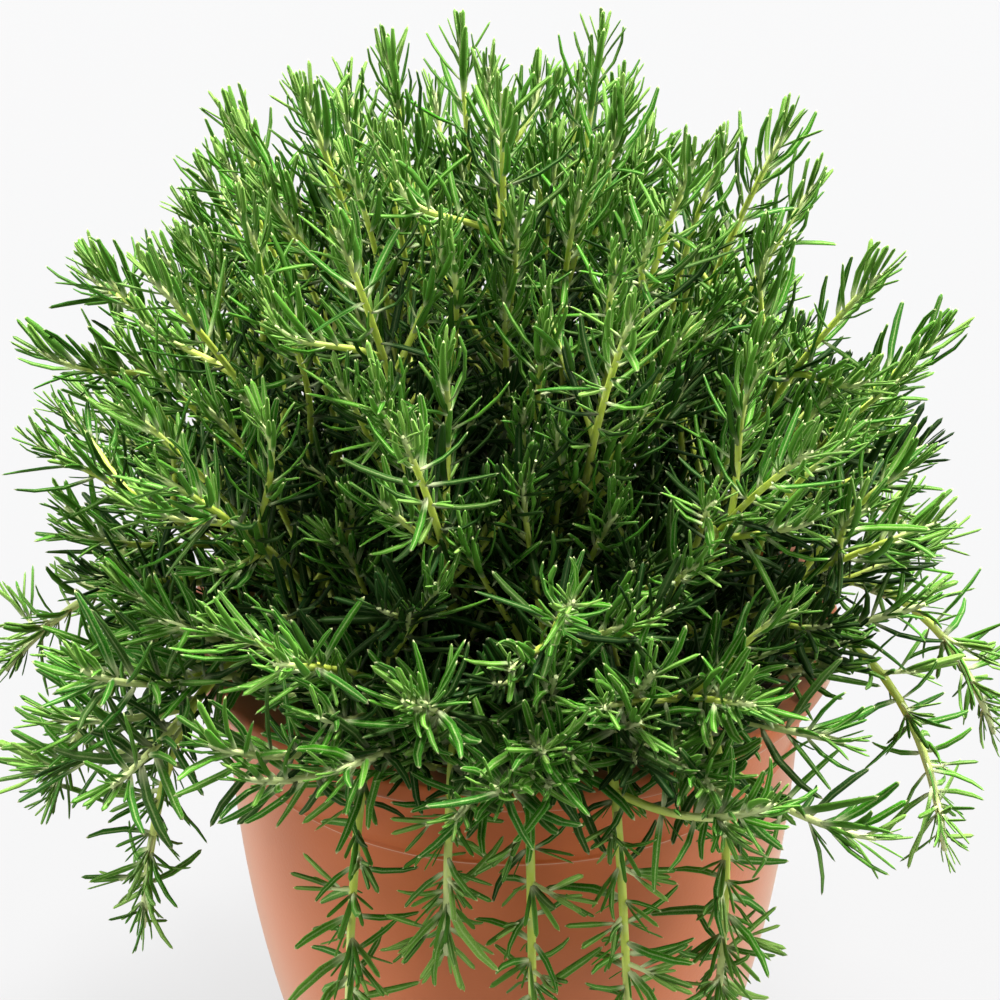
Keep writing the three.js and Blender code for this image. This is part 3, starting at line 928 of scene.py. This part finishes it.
def dress(
    foliage,
    shoot,
    leafy_length,
    vigour=1.0,
    step_most=NODE_STEP_MOST,
    hang=0.0,
    bunches=BUNCHES,
    inner=False,
    broad=False,
    oldest=1.0,
    age_length=AGE_LENGTH,
    woody_length=WOODY_LENGTH,
):
    """Puts the pairs and bunches of needles on a shoot and adds its line."""
    draw = foliage.draw
    distance = FIRST_NODE
    turn = draw(0, 360)
    nodes = []
    while distance < min(leafy_length, shoot.length - BARE_FOOT):
        nodes.append(distance)
        point, tangent, side, across, radius = shoot.at(distance)
        grown = YOUNGEST_SHARE + (1 - YOUNGEST_SHARE) * min(1, distance / FULL_SIZE_FROM)
        opened = TIP_ANGLE + (OLD_ANGLE - TIP_ANGLE) * min(1, distance / OPEN_FROM)
        # Painted shade: needles low on the plant or deep in the crown are painted older, so darker.
        shade = painted_shade_age(point) * (1 - hang)
        age_and_shade = min(oldest, distance / age_length + shade)
        shed = max(0, distance / leafy_length - SHED_FROM) * SHED_RATE
        for half_turn in (0, 180):
            if draw() < shed:
                continue
            a = math.radians(turn + half_turn + draw(*PAIR_SWING))
            outward = side * math.cos(a) + across * math.sin(a)
            angle = opened * (1 - hang * draw(*DROOP)) + draw(*ANGLE_SWING)
            lift = draw(LIFT_LEAST, LIFT_MOST + hang)
            lift *= 1 - LIFT_LOST_UPRIGHT * abs(tangent.z) * (1 - hang)
            aim = (mixed_aim(tangent, outward, angle) + UP * lift).normalized()
            away = Vector((point.x, point.y, 0)).normalized()
            facing = tangent * FACE_ALONG * (1 - hang) + away * FACE_AWAY * hang + UP * FACE_UP
            face = square_to(facing, aim)
            length = NEEDLES["grown"]["length"] * grown * vigour
            length *= draw(SHORTEST - SHORTER_HANGING * hang, LONGEST)
            root = point + outward * radius * ROOT_OUT
            kind = "young" if inner or distance < GROWN_FROM else "broad" if broad else "grown"
            # Needles of inner shoots take the nearly black painted shade.
            foliage.add_needle(root, aim, face, length, kind, max(age_and_shade, INNER_PAINTED_SHADE) if inner else age_and_shade)
            if distance > GROWN_FROM and draw() < bunches:
                add_bunch(foliage, root, tangent, outward, opened, distance, shade, vigour, hang)
        turn += 90 + draw(*NEXT_PAIR_SWING)
        uneven = NODE_UNEVEN + UNEVEN_HANGING * hang
        step = min(step_most, NODE_STEP_TIP + NODE_STEP_GROWTH * distance)
        distance += step * draw(1 - uneven, 1 + uneven)
    while distance < shoot.length - WOODY_FOOT:
        nodes.append(distance)
        distance += step_most
    foliage.add_line(shoot, nodes, woody_length)


# Side shoots reach to just below the ball of tips, and short inner shoots fill the shade under them,
# with their needles painted nearly black as shade.
# Where the dome lies open or stands out, given as (azimuth, polar angle, width, share of the reach
# that is lost), the side shoots are shorter or longer.
SIDE_SHOOTS_HIGH = 7
SIDE_SHOOTS_LOW = 4
LOW_FROM = 0.3
SIDE_FROM = (0.36, 0.8)
SIDE_APART = (8, 16)
SIDE_TO_HIGH = (0.66, 0.99)
SIDE_TO_LOW = (0.62, 0.95)
SIDE_LEAST = 30
SIDE_LEAFY_LENGTH = 72
SIDE_RADII = (1.15, 0.75)
SIDE_VIGOUR = (0.8, 1.05)
SIDE_ALONG = 0.8
SIDE_OUT = 0.6
SIDE_START = 0.35
SIDE_END = 0.38
INNER_SHOOTS = 8
INNER_FROM = (0.06, 0.52)
INNER_LENGTH = (40, 62)
INNER_LEAFY_LENGTH = 54
INNER_RADII = (1.1, 0.7)
INNER_LEAN = (55, 25)
INNER_CLEAR = (5, 8)
INNER_VIGOUR = 0.95
INNER_BUNCHES = 0.25
UNEVEN_PLACES = [
    (2, 64, 34, 0.34),
    (112, 54, 26, 0.3),
    (97, 84, 32, 0.24),
    (-100, 70, 26, -0.1),
    (-105, 60, 14, -0.1),
]


def share_of_reach(direction):
    """The share of its reach that a side shoot keeps in a direction from the dome's centre."""
    kept = 1.0
    for azimuth, polar, width, lost in UNEVEN_PLACES:
        polar = math.radians(polar)
        off = direction.angle(toward(math.sin(polar), azimuth, math.cos(polar))) / math.radians(width)
        kept -= lost * max(0, 1 - off * off)
    return kept


def dome_stem(i):
    """The control points of a stem of the dome and the direction of its tip from the dome's centre."""
    draw = draws(1000 + 37 * i)
    share = (i + 0.5) / DOME_STEMS
    azimuth = i * GOLDEN_ANGLE
    cosine = 1 - share * (1 - math.cos(math.radians(DOME_POLAR_END)))
    sine = math.sqrt(1 - cosine * cosine)
    direction = toward(sine, azimuth, cosine)
    tip = DOME_CENTRE + direction * (CROWN_RADIUS + CROWN_SPREAD * draw())
    foot = toward(DOME_SOIL_RADIUS * math.sqrt(share), azimuth, soil_edge - STEM_IN_SOIL)
    rise = toward(DOME_RISE_OUT * sine, azimuth, DOME_RISE_UP)
    reach = (direction + UP * DOME_BEND_UP * sine).normalized() * DOME_LAST_STRETCH
    return [foot, foot + rise, tip - reach, tip], direction


def side_controls(shoot, from_share, tip, tip_direction):
    """A side shoot that leans out of its stem and turns to end at a point in a direction."""
    base, tangent, _, _, _ = shoot.from_foot(from_share)
    gap = tip - base
    span = gap.length
    lean = (gap - tangent * gap.dot(tangent)).normalized()
    start = (tangent * SIDE_ALONG + lean * SIDE_OUT) * span * SIDE_START
    return [base, base + start, tip - tip_direction * span * SIDE_END, tip]


def bent_shoot(base, first, last, length, radii, clear):
    """A short shoot in two directions, or nothing if it isn't clear of the pot or leaves the model."""
    middle = base + first * length * 0.5
    end = middle + last * length * 0.5
    free = clear_of_pot(middle, clear[0]) and clear_of_pot(end, clear[1])
    return Shoot([base, middle, end], *radii) if free and kept_inside(end) == end else None


def grow_dome_stem(i):
    controls, direction = dome_stem(i)
    foliage = Foliage(90001 + 613 * i)
    draw = foliage.draw
    main = Shoot(controls, *DOME_STEM_RADII)
    dress(foliage, main, DOME_LEAFY_LENGTH)
    slope = direction.cross(UP).normalized()
    high = direction.z > LOW_FROM
    side_shoots = SIDE_SHOOTS_HIGH if high else SIDE_SHOOTS_LOW
    side_to = SIDE_TO_HIGH if high else SIDE_TO_LOW
    for n in range(side_shoots):
        share = spaced(SIDE_FROM, n + draw(0, 0.6), side_shoots)
        apart = Quaternion(slope, math.radians(draw(*SIDE_APART)))
        around = Quaternion(direction, math.radians(n * GOLDEN_ANGLE + draw(0, 50)))
        aside = around @ (apart @ direction)
        kept = share_of_reach(aside)
        share *= kept
        base = main.from_foot(share)[0]
        least = (base - DOME_CENTRE).dot(aside) + SIDE_LEAST
        reach = max(CROWN_RADIUS * draw(*side_to) * kept, least)
        tip = kept_inside(DOME_CENTRE + aside * reach)
        ending = (aside + UP * DOME_BEND_UP * math.hypot(aside.x, aside.y)).normalized()
        shoot = Shoot(side_controls(main, share, tip, ending), *SIDE_RADII)
        dress(foliage, shoot, SIDE_LEAFY_LENGTH, vigour=draw(*SIDE_VIGOUR))
    for n in range(INNER_SHOOTS):
        base, tangent, side, across, _ = main.from_foot(spaced(INNER_FROM, n + draw(), INNER_SHOOTS))
        a = math.radians(n * GOLDEN_ANGLE + draw(0, 60))
        lean = side * math.cos(a) + across * math.sin(a)
        first, last = [mixed_aim(tangent, lean, degrees) for degrees in INNER_LEAN]
        shoot = bent_shoot(base, first, last, draw(*INNER_LENGTH), INNER_RADII, INNER_CLEAR)
        if shoot:
            dress(
                foliage,
                shoot,
                INNER_LEAFY_LENGTH,
                vigour=INNER_VIGOUR,
                bunches=INNER_BUNCHES,
                inner=True,
            )
    return foliage


# The leaf surface reads only the cell map: green tints by age with painted shade added, a light groove,
# tip and foot on top, pale edges that are partly felt and partly painted highlight, and a pale felted
# band below. Old needles, and those with the most painted shade deep inside and low on the plant, are
# nearly black.
LEAF_YOUNG = (0.158, 0.316, 0.046, 1)
LEAF_GROWN = (0.033, 0.185, 0.002, 1)
# The dark green of old needles, and of painted shade.
LEAF_OLD_AND_SHADED = (0.003, 0.020, 0.001, 1)
LEAF_BLUE = (0.012, 0.092, 0.006, 1)
# A pale green for the groove and specks, and for the edges, where it is partly painted highlight.
LEAF_PALE_AND_HIGHLIGHT = (0.47, 0.56, 0.23, 1)
LEAF_TIP = (0.62, 0.62, 0.32, 1)
LEAF_FOOT = (0.62, 0.66, 0.38, 1)
LEAF_UNDER = (0.060, 0.165, 0.016, 1)
TOP_MIDDLE = 0.25
UNDER_MIDDLE = 0.75
LEAF_STRETCH = 3.0
RELIEF_DEPTH = 0.3 * MM


def scaled(tree, factor, value):
    return calculate(tree, "MULTIPLY", factor, value)


def step_down(tree, value, low, high):
    """1 below one value and 0 above the other, smooth in between."""
    return calculate(tree, "SUBTRACT", 1.0, step_between(tree, value, low, high))


def on_vectors(tree, operation, *values):
    return output_of(tree, "ShaderNodeVectorMath", dict(enumerate(values)), operation=operation)


def layered(tree, base, layers):
    """The base colour with others laid over it in turn, each with its share."""
    for share, colour in layers:
        base = blend_colour(tree, share, base, colour)
    return base


def cell_map(tree):
    """The cell's column and row, and the way across and up inside it from 0 to 1."""
    uv = output_of(tree, "ShaderNodeUVMap", uv_map=MAP)
    place = on_vectors(tree, "MULTIPLY", uv, (CELLS, CELLS, 0))
    cell = on_vectors(tree, "FLOOR", place)
    within = on_vectors(tree, "FRACTION", place)
    column, row, _ = add_node(tree, "ShaderNodeSeparateXYZ", {0: cell}).outputs
    inner = add_node(tree, "ShaderNodeSeparateXYZ", {0: within}).outputs
    spread = 1 / (1 - 2 * CELL_MARGIN)
    across, up = [
        calculate(tree, "MULTIPLY_ADD", inner[n], spread, -CELL_MARGIN * spread) for n in (0, 1)
    ]
    return column, row, across, up


def stretched(tree, across, up, column, stretch):
    """A place for patterns along a needle or a stem, another one in each column."""
    inputs = {"X": across, "Y": scaled(tree, up, stretch), "Z": column}
    return output_of(tree, "ShaderNodeCombineXYZ", inputs)


leaf_material, tree, shader = new_material("rosemary_leaf", {"Specular IOR Level": 0.08})
column, row, across, up = cell_map(tree)
age_and_shade = calculate(tree, "DIVIDE", column, CELLS - 1)
tint = calculate(tree, "DIVIDE", row, TINTS - 1)
place = stretched(tree, across, up, column, LEAF_STRETCH)
streaks = noise(tree, place, 9.0, 3.0)
grain = noise(tree, place, 19.0, 2.0)
off_groove = calculate(tree, "ABSOLUTE", calculate(tree, "SUBTRACT", across, TOP_MIDDLE))
off_edge = calculate(tree, "PINGPONG", across, TOP_MIDDLE)
off_middle = calculate(tree, "ABSOLUTE", calculate(tree, "SUBTRACT", across, UNDER_MIDDLE))
under = step_down(tree, off_middle, 0.10, 0.18)
light_share = calculate(tree, "MULTIPLY_ADD", tint, -0.5, 0.25, clamp=True)
groove_share = calculate(tree, "MULTIPLY_ADD", streaks, 0.7, 0.02)
edge_highlight_share = calculate(tree, "MULTIPLY_ADD", age_and_shade, -0.2, 0.3)
# The green darkens with age and with the painted shade added to it, nearly to black.
layers = [
    (step_between(tree, age_and_shade, 0.0, 0.35), LEAF_GROWN),
    (step_between(tree, age_and_shade, 0.4, 1.0), LEAF_OLD_AND_SHADED),
    (scaled(tree, step_between(tree, tint, 0.45, 1.0), 0.6), LEAF_BLUE),
    (light_share, LEAF_YOUNG),
    (scaled(tree, step_between(tree, grain, 0.52, 0.72), 0.18), LEAF_PALE_AND_HIGHLIGHT),
    (scaled(tree, step_down(tree, grain, 0.32, 0.5), 0.3), LEAF_OLD_AND_SHADED),
    (scaled(tree, step_down(tree, off_groove, 0.012, 0.06), groove_share), LEAF_PALE_AND_HIGHLIGHT),
    # Pale edge lines: partly felt, and partly a painted highlight along the rolled edges.
    (scaled(tree, step_down(tree, off_edge, 0.01, 0.045), edge_highlight_share), LEAF_PALE_AND_HIGHLIGHT),
    (scaled(tree, under, 0.9), LEAF_UNDER),
    (scaled(tree, step_between(tree, up, 0.95, 1.0), 0.9), LEAF_TIP),
    (scaled(tree, step_down(tree, up, 0.0, 0.3), 0.85), LEAF_FOOT),
    (scaled(tree, step_between(tree, age_and_shade, 0.55, 1.0), 0.82), LEAF_OLD_AND_SHADED),
]
tree.links.new(layered(tree, LEAF_YOUNG, layers), shader.inputs["Base Color"])
tree.links.new(calculate(tree, "MULTIPLY_ADD", under, 0.2, 0.55), shader.inputs["Roughness"])
add_relief(tree, shader, grain, 0.5, RELIEF_DEPTH)

# The stems are cream and felted at their tips, yellow green below them, and brown and woody in the
# crown, where their brown is darkened nearly to black as painted shade. The way up their cell is the
# distance from the tip.
STEM_TIP = (0.54, 0.62, 0.28, 1)
STEM_YOUNG = (0.42, 0.52, 0.048, 1)
# Woody brown, darkened nearly to black as painted shade in the crown.
STEM_WOODY_AND_SHADED = (0.035, 0.028, 0.011, 1)
STEM_DOWN = (0.52, 0.58, 0.27, 1)
STEM_STRETCH = 9.0

stem_material, tree, shader = new_material("rosemary_stem", {"Roughness": 0.6})
column, _, across, up = cell_map(tree)
patches = noise(tree, stretched(tree, across, up, column, STEM_STRETCH), 4.0, 4.0)
layers = [
    (step_between(tree, up, 0.0, 0.16), STEM_YOUNG),
    (step_between(tree, up, 0.3, 0.7), STEM_WOODY_AND_SHADED),
    (scaled(tree, step_between(tree, patches, 0.45, 0.75), 0.45), STEM_DOWN),
]
tree.links.new(layered(tree, STEM_TIP, layers), shader.inputs["Base Color"])
add_relief(tree, shader, patches, 0.35, RELIEF_DEPTH)

# The tree that dresses a stem: its lines become tubes, and its other points carry needles. A tube's
# two sides share the same half of the map, so that no seam shows.
STEM_SIDES = 5
STEM_MAP_HALF = 0.42
stem_tree, given, ids = new_tree(
    "leafy_stem",
    {
        "Geometry": "Geometry",
        "Needle shapes": "Collection",
        "Stem sides": "Int",
        "Thickness scale": "Float",
        "Leaf": "Material",
        "Stem": "Material",
    },
)


def mapped(tree, geometry, place):
    """The geometry with its map set from a place that is counted in cells."""
    fitted = on_vectors(tree, "MULTIPLY", place, (1 / CELLS,) * 3)
    inputs = {"Geometry": geometry, "Name": MAP, "Value": fitted}
    kinds = {"data_type": "FLOAT2", "domain": "CORNER"}
    return output_of(tree, "GeometryNodeStoreNamedAttribute", inputs, **kinds)


shape_number = attribute(stem_tree, "shape", "INT")
is_needle = output_of(
    stem_tree,
    "FunctionNodeCompare",
    {"A": shape_number, "B": -1},
    data_type="INT",
    operation="GREATER_THAN",
)
parts = add_node(
    stem_tree,
    "GeometryNodeSeparateGeometry",
    {"Geometry": given["Geometry"], "Selection": is_needle},
)
bunch = output_of(
    stem_tree,
    "GeometryNodeCollectionInfo",
    {"Collection": given["Needle shapes"], "Separate Children": True, "Reset Children": True},
)
turned = output_of(
    stem_tree,
    "FunctionNodeAxesToRotation",
    {
        "Primary Axis": attribute(stem_tree, "aim", "FLOAT_VECTOR"),
        "Secondary Axis": attribute(stem_tree, "face", "FLOAT_VECTOR"),
    },
    primary_axis="X",
    secondary_axis="Z",
)
stood = output_of(
    stem_tree,
    "GeometryNodeInstanceOnPoints",
    {
        "Points": parts.outputs["Selection"],
        "Instance": bunch,
        "Pick Instance": True,
        "Instance Index": shape_number,
        "Rotation": turned,
        "Scale": attribute(stem_tree, "size", "FLOAT"),
    },
)
needles = output_of(stem_tree, "GeometryNodeRealizeInstances", {"Geometry": stood})
cell = attribute(stem_tree, "cell", "FLOAT_VECTOR")
own = attribute(stem_tree, MAP, "FLOAT_VECTOR")
room = (1 - 2 * CELL_MARGIN,) * 3
in_cell = on_vectors(stem_tree, "MULTIPLY_ADD", own, room, (CELL_MARGIN, CELL_MARGIN, 0))
moved = on_vectors(stem_tree, "ADD", in_cell, cell)
leaves = in_material(stem_tree, mapped(stem_tree, needles, moved), given["Leaf"])

lines = output_of(stem_tree, "GeometryNodeMeshToCurve", {0: parts.outputs["Inverted"]})
circle = {"Resolution": given["Stem sides"], "Radius": MM}
ring = output_of(stem_tree, "GeometryNodeCurvePrimitiveCircle", circle)
way_round = add_node(stem_tree, "GeometryNodeSplineParameter").outputs["Factor"]
marked = add_node(stem_tree, "GeometryNodeCaptureAttribute", {"Geometry": ring})
marked.capture_items.new("FLOAT", "round")
stem_tree.links.new(way_round, marked.inputs["round"])
thickness = attribute(stem_tree, "thickness", "FLOAT")
tubes = output_of(
    stem_tree,
    "GeometryNodeCurveToMesh",
    {
        "Curve": lines,
        "Profile Curve": marked.outputs["Geometry"],
        "Scale": scaled(stem_tree, thickness, given["Thickness scale"]),
        "Fill Caps": True,
    },
)
turn = scaled(stem_tree, marked.outputs["round"], 2 * math.pi)
wave = calculate(stem_tree, "COSINE", turn)
spread = calculate(stem_tree, "MULTIPLY_ADD", wave, STEM_MAP_HALF, 0.5)
column, row, along = add_node(stem_tree, "ShaderNodeSeparateXYZ", {0: cell}).outputs
up = calculate(stem_tree, "MULTIPLY_ADD", along, 1 - 2 * CELL_MARGIN, CELL_MARGIN)
place = output_of(
    stem_tree,
    "ShaderNodeCombineXYZ",
    {0: calculate(stem_tree, "ADD", column, spread), 1: calculate(stem_tree, "ADD", row, up)},
)
bark = in_material(stem_tree, mapped(stem_tree, tubes, place), given["Stem"])
join = stem_tree.nodes.new("GeometryNodeJoinGeometry")
stem_tree.links.new(leaves, join.inputs[0])
stem_tree.links.new(bark, join.inputs[0])
smooth = output_of(stem_tree, "GeometryNodeSetShadeSmooth", {"Geometry": join.outputs[0]})
add_node(stem_tree, "NodeGroupOutput", {"Geometry": smooth})


def make_stem(name, node_name, foliage):
    """Turns what has grown into one plain mesh in place of its CAD node."""
    mesh = bpy.data.meshes.new(name + "_lines")
    mesh.from_pydata([tuple(p) for p in foliage.points], foliage.edges, [])
    for label, (kind, _) in POINT_VALUES.items():
        values = foliage.values[label]
        field = "value"
        if kind == "FLOAT_VECTOR":
            values = [x for vector in values for x in vector]
            field = "vector"
        mesh.attributes.new(label, kind, "POINT").data.foreach_set(field, values)
    drawn = bpy.data.objects.new(name + "_lines", mesh)
    bpy.context.collection.objects.link(drawn)
    modifier = drawn.modifiers.new("leafy stem", "NODES")
    modifier.node_group = stem_tree
    modifier[ids["Needle shapes"]] = needle_shapes
    modifier[ids["Stem sides"]] = STEM_SIDES
    modifier[ids["Thickness scale"]] = 1.0
    modifier[ids["Leaf"]] = leaf_material
    modifier[ids["Stem"]] = stem_material
    stem = made_plain(drawn, name)
    for label in (*POINT_VALUES, "round"):
        if label in stem.data.attributes:
            stem.data.attributes.remove(stem.data.attributes[label])
    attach(stem, "root")
    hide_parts(node_name)


for i in range(DOME_STEMS):
    make_stem(f"rosemary_stem_{i + 1:02d}", f"leafy_stem_{i + 1:02d}", grow_dome_stem(i))

# Trailing stems: sixteen stems near the wall of the pot that arch over its rim and hang or lean out,
# with shoots round their collar that hide the rim, and short spurs further down. Each is given by its
# azimuth, and by its tip's reach from the pot's axis and height over the rim in millimetres.
SKIRT = [
    (-25, 131, -104),
    (-10, 127, -56),
    (3, 126, -110),
    (17, 132, -106),
    (31, 130, -98),
    (64, 163, -54),
    (84, 172, -42),
    (112, 168, -16),
    (141, 153, -62),
    (170, 163, -30),
    (199, 150, -74),
    (228, 165, -24),
    (254, 156, -52),
    (276, 179, -15),
    (290, 170, -45),
    (305, 153, -74),
]
SKIRT_SOIL_RADIUS = 86
SKIRT_RISE_OUT = 4
SKIRT_RISE_UP = 72
SKIRT_SWAY = 12
HANGING_REACH = 140
HANGING_ARCH = 50
SPREAD_OUT = 0.8
SPREAD_UP = 0.7
AIRY_SIDE = (50, 130)
TRAILING_RADII = (1.7, 1.15)
TRAILING_LEAFY_SHARE = 0.72
TRAILING_VIGOUR = (0.78, 1.0)
TRAILING_STEP = (15, 22)
TRAILING_HANG = 0.7
TRAILING_OLDEST = 0.66
TRAILING_AGE_LENGTH = 130
TRAILING_WOODY_LENGTH = 380
BUNCHES_AIRY = 0.25
BUNCHES_TRAILING = 0.7
FRONT_REACH = 155
COLLAR_FROM = (0.12, 0.56)
COLLAR_SHOOTS_HANGING = 9
COLLAR_SHOOTS_SPREAD = 4
COLLAR_SHOOTS_AIRY = 2
COLLAR_LENGTH_HANGING = (48, 74)
COLLAR_LENGTH_SPREAD = (32, 48)
COLLAR_LEAFY_LENGTH = 60
COLLAR_RADII = (1.3, 1.0)
COLLAR_VIGOUR = (0.92, 1.15)
COLLAR_STEP = 9
COLLAR_BUNCHES = 0.35
COLLAR_UPRIGHT_ASIDE = (-0.4, 0.4)
COLLAR_UPRIGHT_UP = (0.3, 0.9)
COLLAR_SWING = (0.2, 0.7)
COLLAR_OUT = (0.45, 1.1)
COLLAR_UP = (-0.4, 0.35)
COLLAR_END_UP = (-0.1, 0.5)
COLLAR_AGE_LENGTH = 40
SPURS = 5
SPUR_FROM = (0.4, 0.97)
SPUR_LENGTH = (6, 16)
SPUR_RADII = (0.9, 0.6)
SPUR_VIGOUR = (1.0, 1.5)
SPUR_HANG = 0.5
SPUR_SWING = (0.5, 1.2)
SPUR_OUT = (0.2, 1.1)
SPUR_ALONG = (-0.1, 0.6)
SPUR_CURVE = 0.3
SPUR_LEAFY_SHARE = 0.6
LOW_CLEAR = (4, 6)


def grow_collar(foliage, main, azimuth, count, length_range):
    """Shoots near the rim, in turn upright and spread to either side."""
    draw = foliage.draw
    outward = toward(1, azimuth, 0)
    sideways = toward(1, azimuth + 90, 0)
    for n in range(count):
        base, tangent, _, _, _ = main.from_foot(spaced(COLLAR_FROM, n + draw(0, 0.7), count))
        if n % 2:
            aside = sideways * draw(*COLLAR_UPRIGHT_ASIDE)
            heading = (outward + aside + UP * draw(*COLLAR_UPRIGHT_UP)).normalized()
        else:
            aside = sideways * ((1 if n % 4 else -1) * draw(*COLLAR_SWING))
            heading = (outward * draw(*COLLAR_OUT) + aside + UP * draw(*COLLAR_UP)).normalized()
        first = (tangent * 0.5 + heading).normalized()
        length = draw(*length_range)
        last = (heading + UP * draw(*COLLAR_END_UP)).normalized()
        shoot = bent_shoot(base, first, last, length, COLLAR_RADII, LOW_CLEAR)
        if shoot:
            dress(
                foliage,
                shoot,
                COLLAR_LEAFY_LENGTH,
                vigour=draw(*COLLAR_VIGOUR),
                step_most=COLLAR_STEP,
                bunches=COLLAR_BUNCHES,
                broad=True,
                oldest=TRAILING_OLDEST,
                age_length=COLLAR_AGE_LENGTH,
                woody_length=TRAILING_WOODY_LENGTH,
            )


def grow_spurs(foliage, main, azimuth):
    """Short spurs with long needles along the hanging part, to either side in turn."""
    draw = foliage.draw
    outward = toward(1, azimuth, 0)
    sideways = toward(1, azimuth + 90, 0)
    for n in range(SPURS):
        base, tangent, _, _, _ = main.from_foot(spaced(SPUR_FROM, n + draw(0, 0.6), SPURS))
        swing = (1 if n % 2 else -1) * draw(*SPUR_SWING)
        heading = outward * draw(*SPUR_OUT) + sideways * swing + tangent * draw(*SPUR_ALONG)
        heading.normalize()
        length = draw(*SPUR_LENGTH)
        last = (heading + tangent * SPUR_CURVE).normalized()
        shoot = bent_shoot(base, heading, last, length, SPUR_RADII, LOW_CLEAR)
        if shoot:
            leafy = length * SPUR_LEAFY_SHARE
            dress(foliage, shoot, leafy, draw(*SPUR_VIGOUR), hang=SPUR_HANG, bunches=0.0, broad=True)


def grow_trailing_stem(k):
    azimuth, reach, height = SKIRT[k]
    spread = max(0, reach - HANGING_REACH)
    foot = toward(SKIRT_SOIL_RADIUS, azimuth, soil_edge - STEM_IN_SOIL)
    rise = toward(SKIRT_RISE_OUT, azimuth, SKIRT_RISE_UP)
    tip = toward(reach, azimuth, pot_height + height)
    arch = toward(SPREAD_OUT * spread, azimuth, height - HANGING_ARCH + SPREAD_UP * spread)
    foliage = Foliage(190001 + 811 * k)
    draw = foliage.draw
    sway = toward(1, azimuth + 90, 0) * draw(-SKIRT_SWAY, SKIRT_SWAY)
    main = Shoot([foot, foot + rise, tip - arch + sway, tip], *TRAILING_RADII)
    airy = AIRY_SIDE[0] < azimuth < AIRY_SIDE[1]
    dress(
        foliage,
        main,
        main.length * TRAILING_LEAFY_SHARE,
        vigour=draw(*TRAILING_VIGOUR),
        step_most=draw(*TRAILING_STEP),
        hang=TRAILING_HANG,
        bunches=BUNCHES_AIRY if airy else BUNCHES_TRAILING,
        broad=True,
        oldest=TRAILING_OLDEST,
        age_length=TRAILING_AGE_LENGTH,
        woody_length=TRAILING_WOODY_LENGTH,
    )
    if airy:
        grow_collar(foliage, main, azimuth, COLLAR_SHOOTS_AIRY, COLLAR_LENGTH_SPREAD)
    elif reach < FRONT_REACH:
        grow_collar(foliage, main, azimuth, COLLAR_SHOOTS_HANGING, COLLAR_LENGTH_HANGING)
    else:
        grow_collar(foliage, main, azimuth, COLLAR_SHOOTS_SPREAD, COLLAR_LENGTH_SPREAD)
    grow_spurs(foliage, main, azimuth)
    return foliage


for k in range(len(SKIRT)):
    make_stem(f"rosemary_trailing_{k + 1:02d}", f"trailing_stem_{k + 1:02d}", grow_trailing_stem(k))

for made in list(needle_shapes.objects):
    bpy.data.objects.remove(made)
bpy.data.collections.remove(needle_shapes)
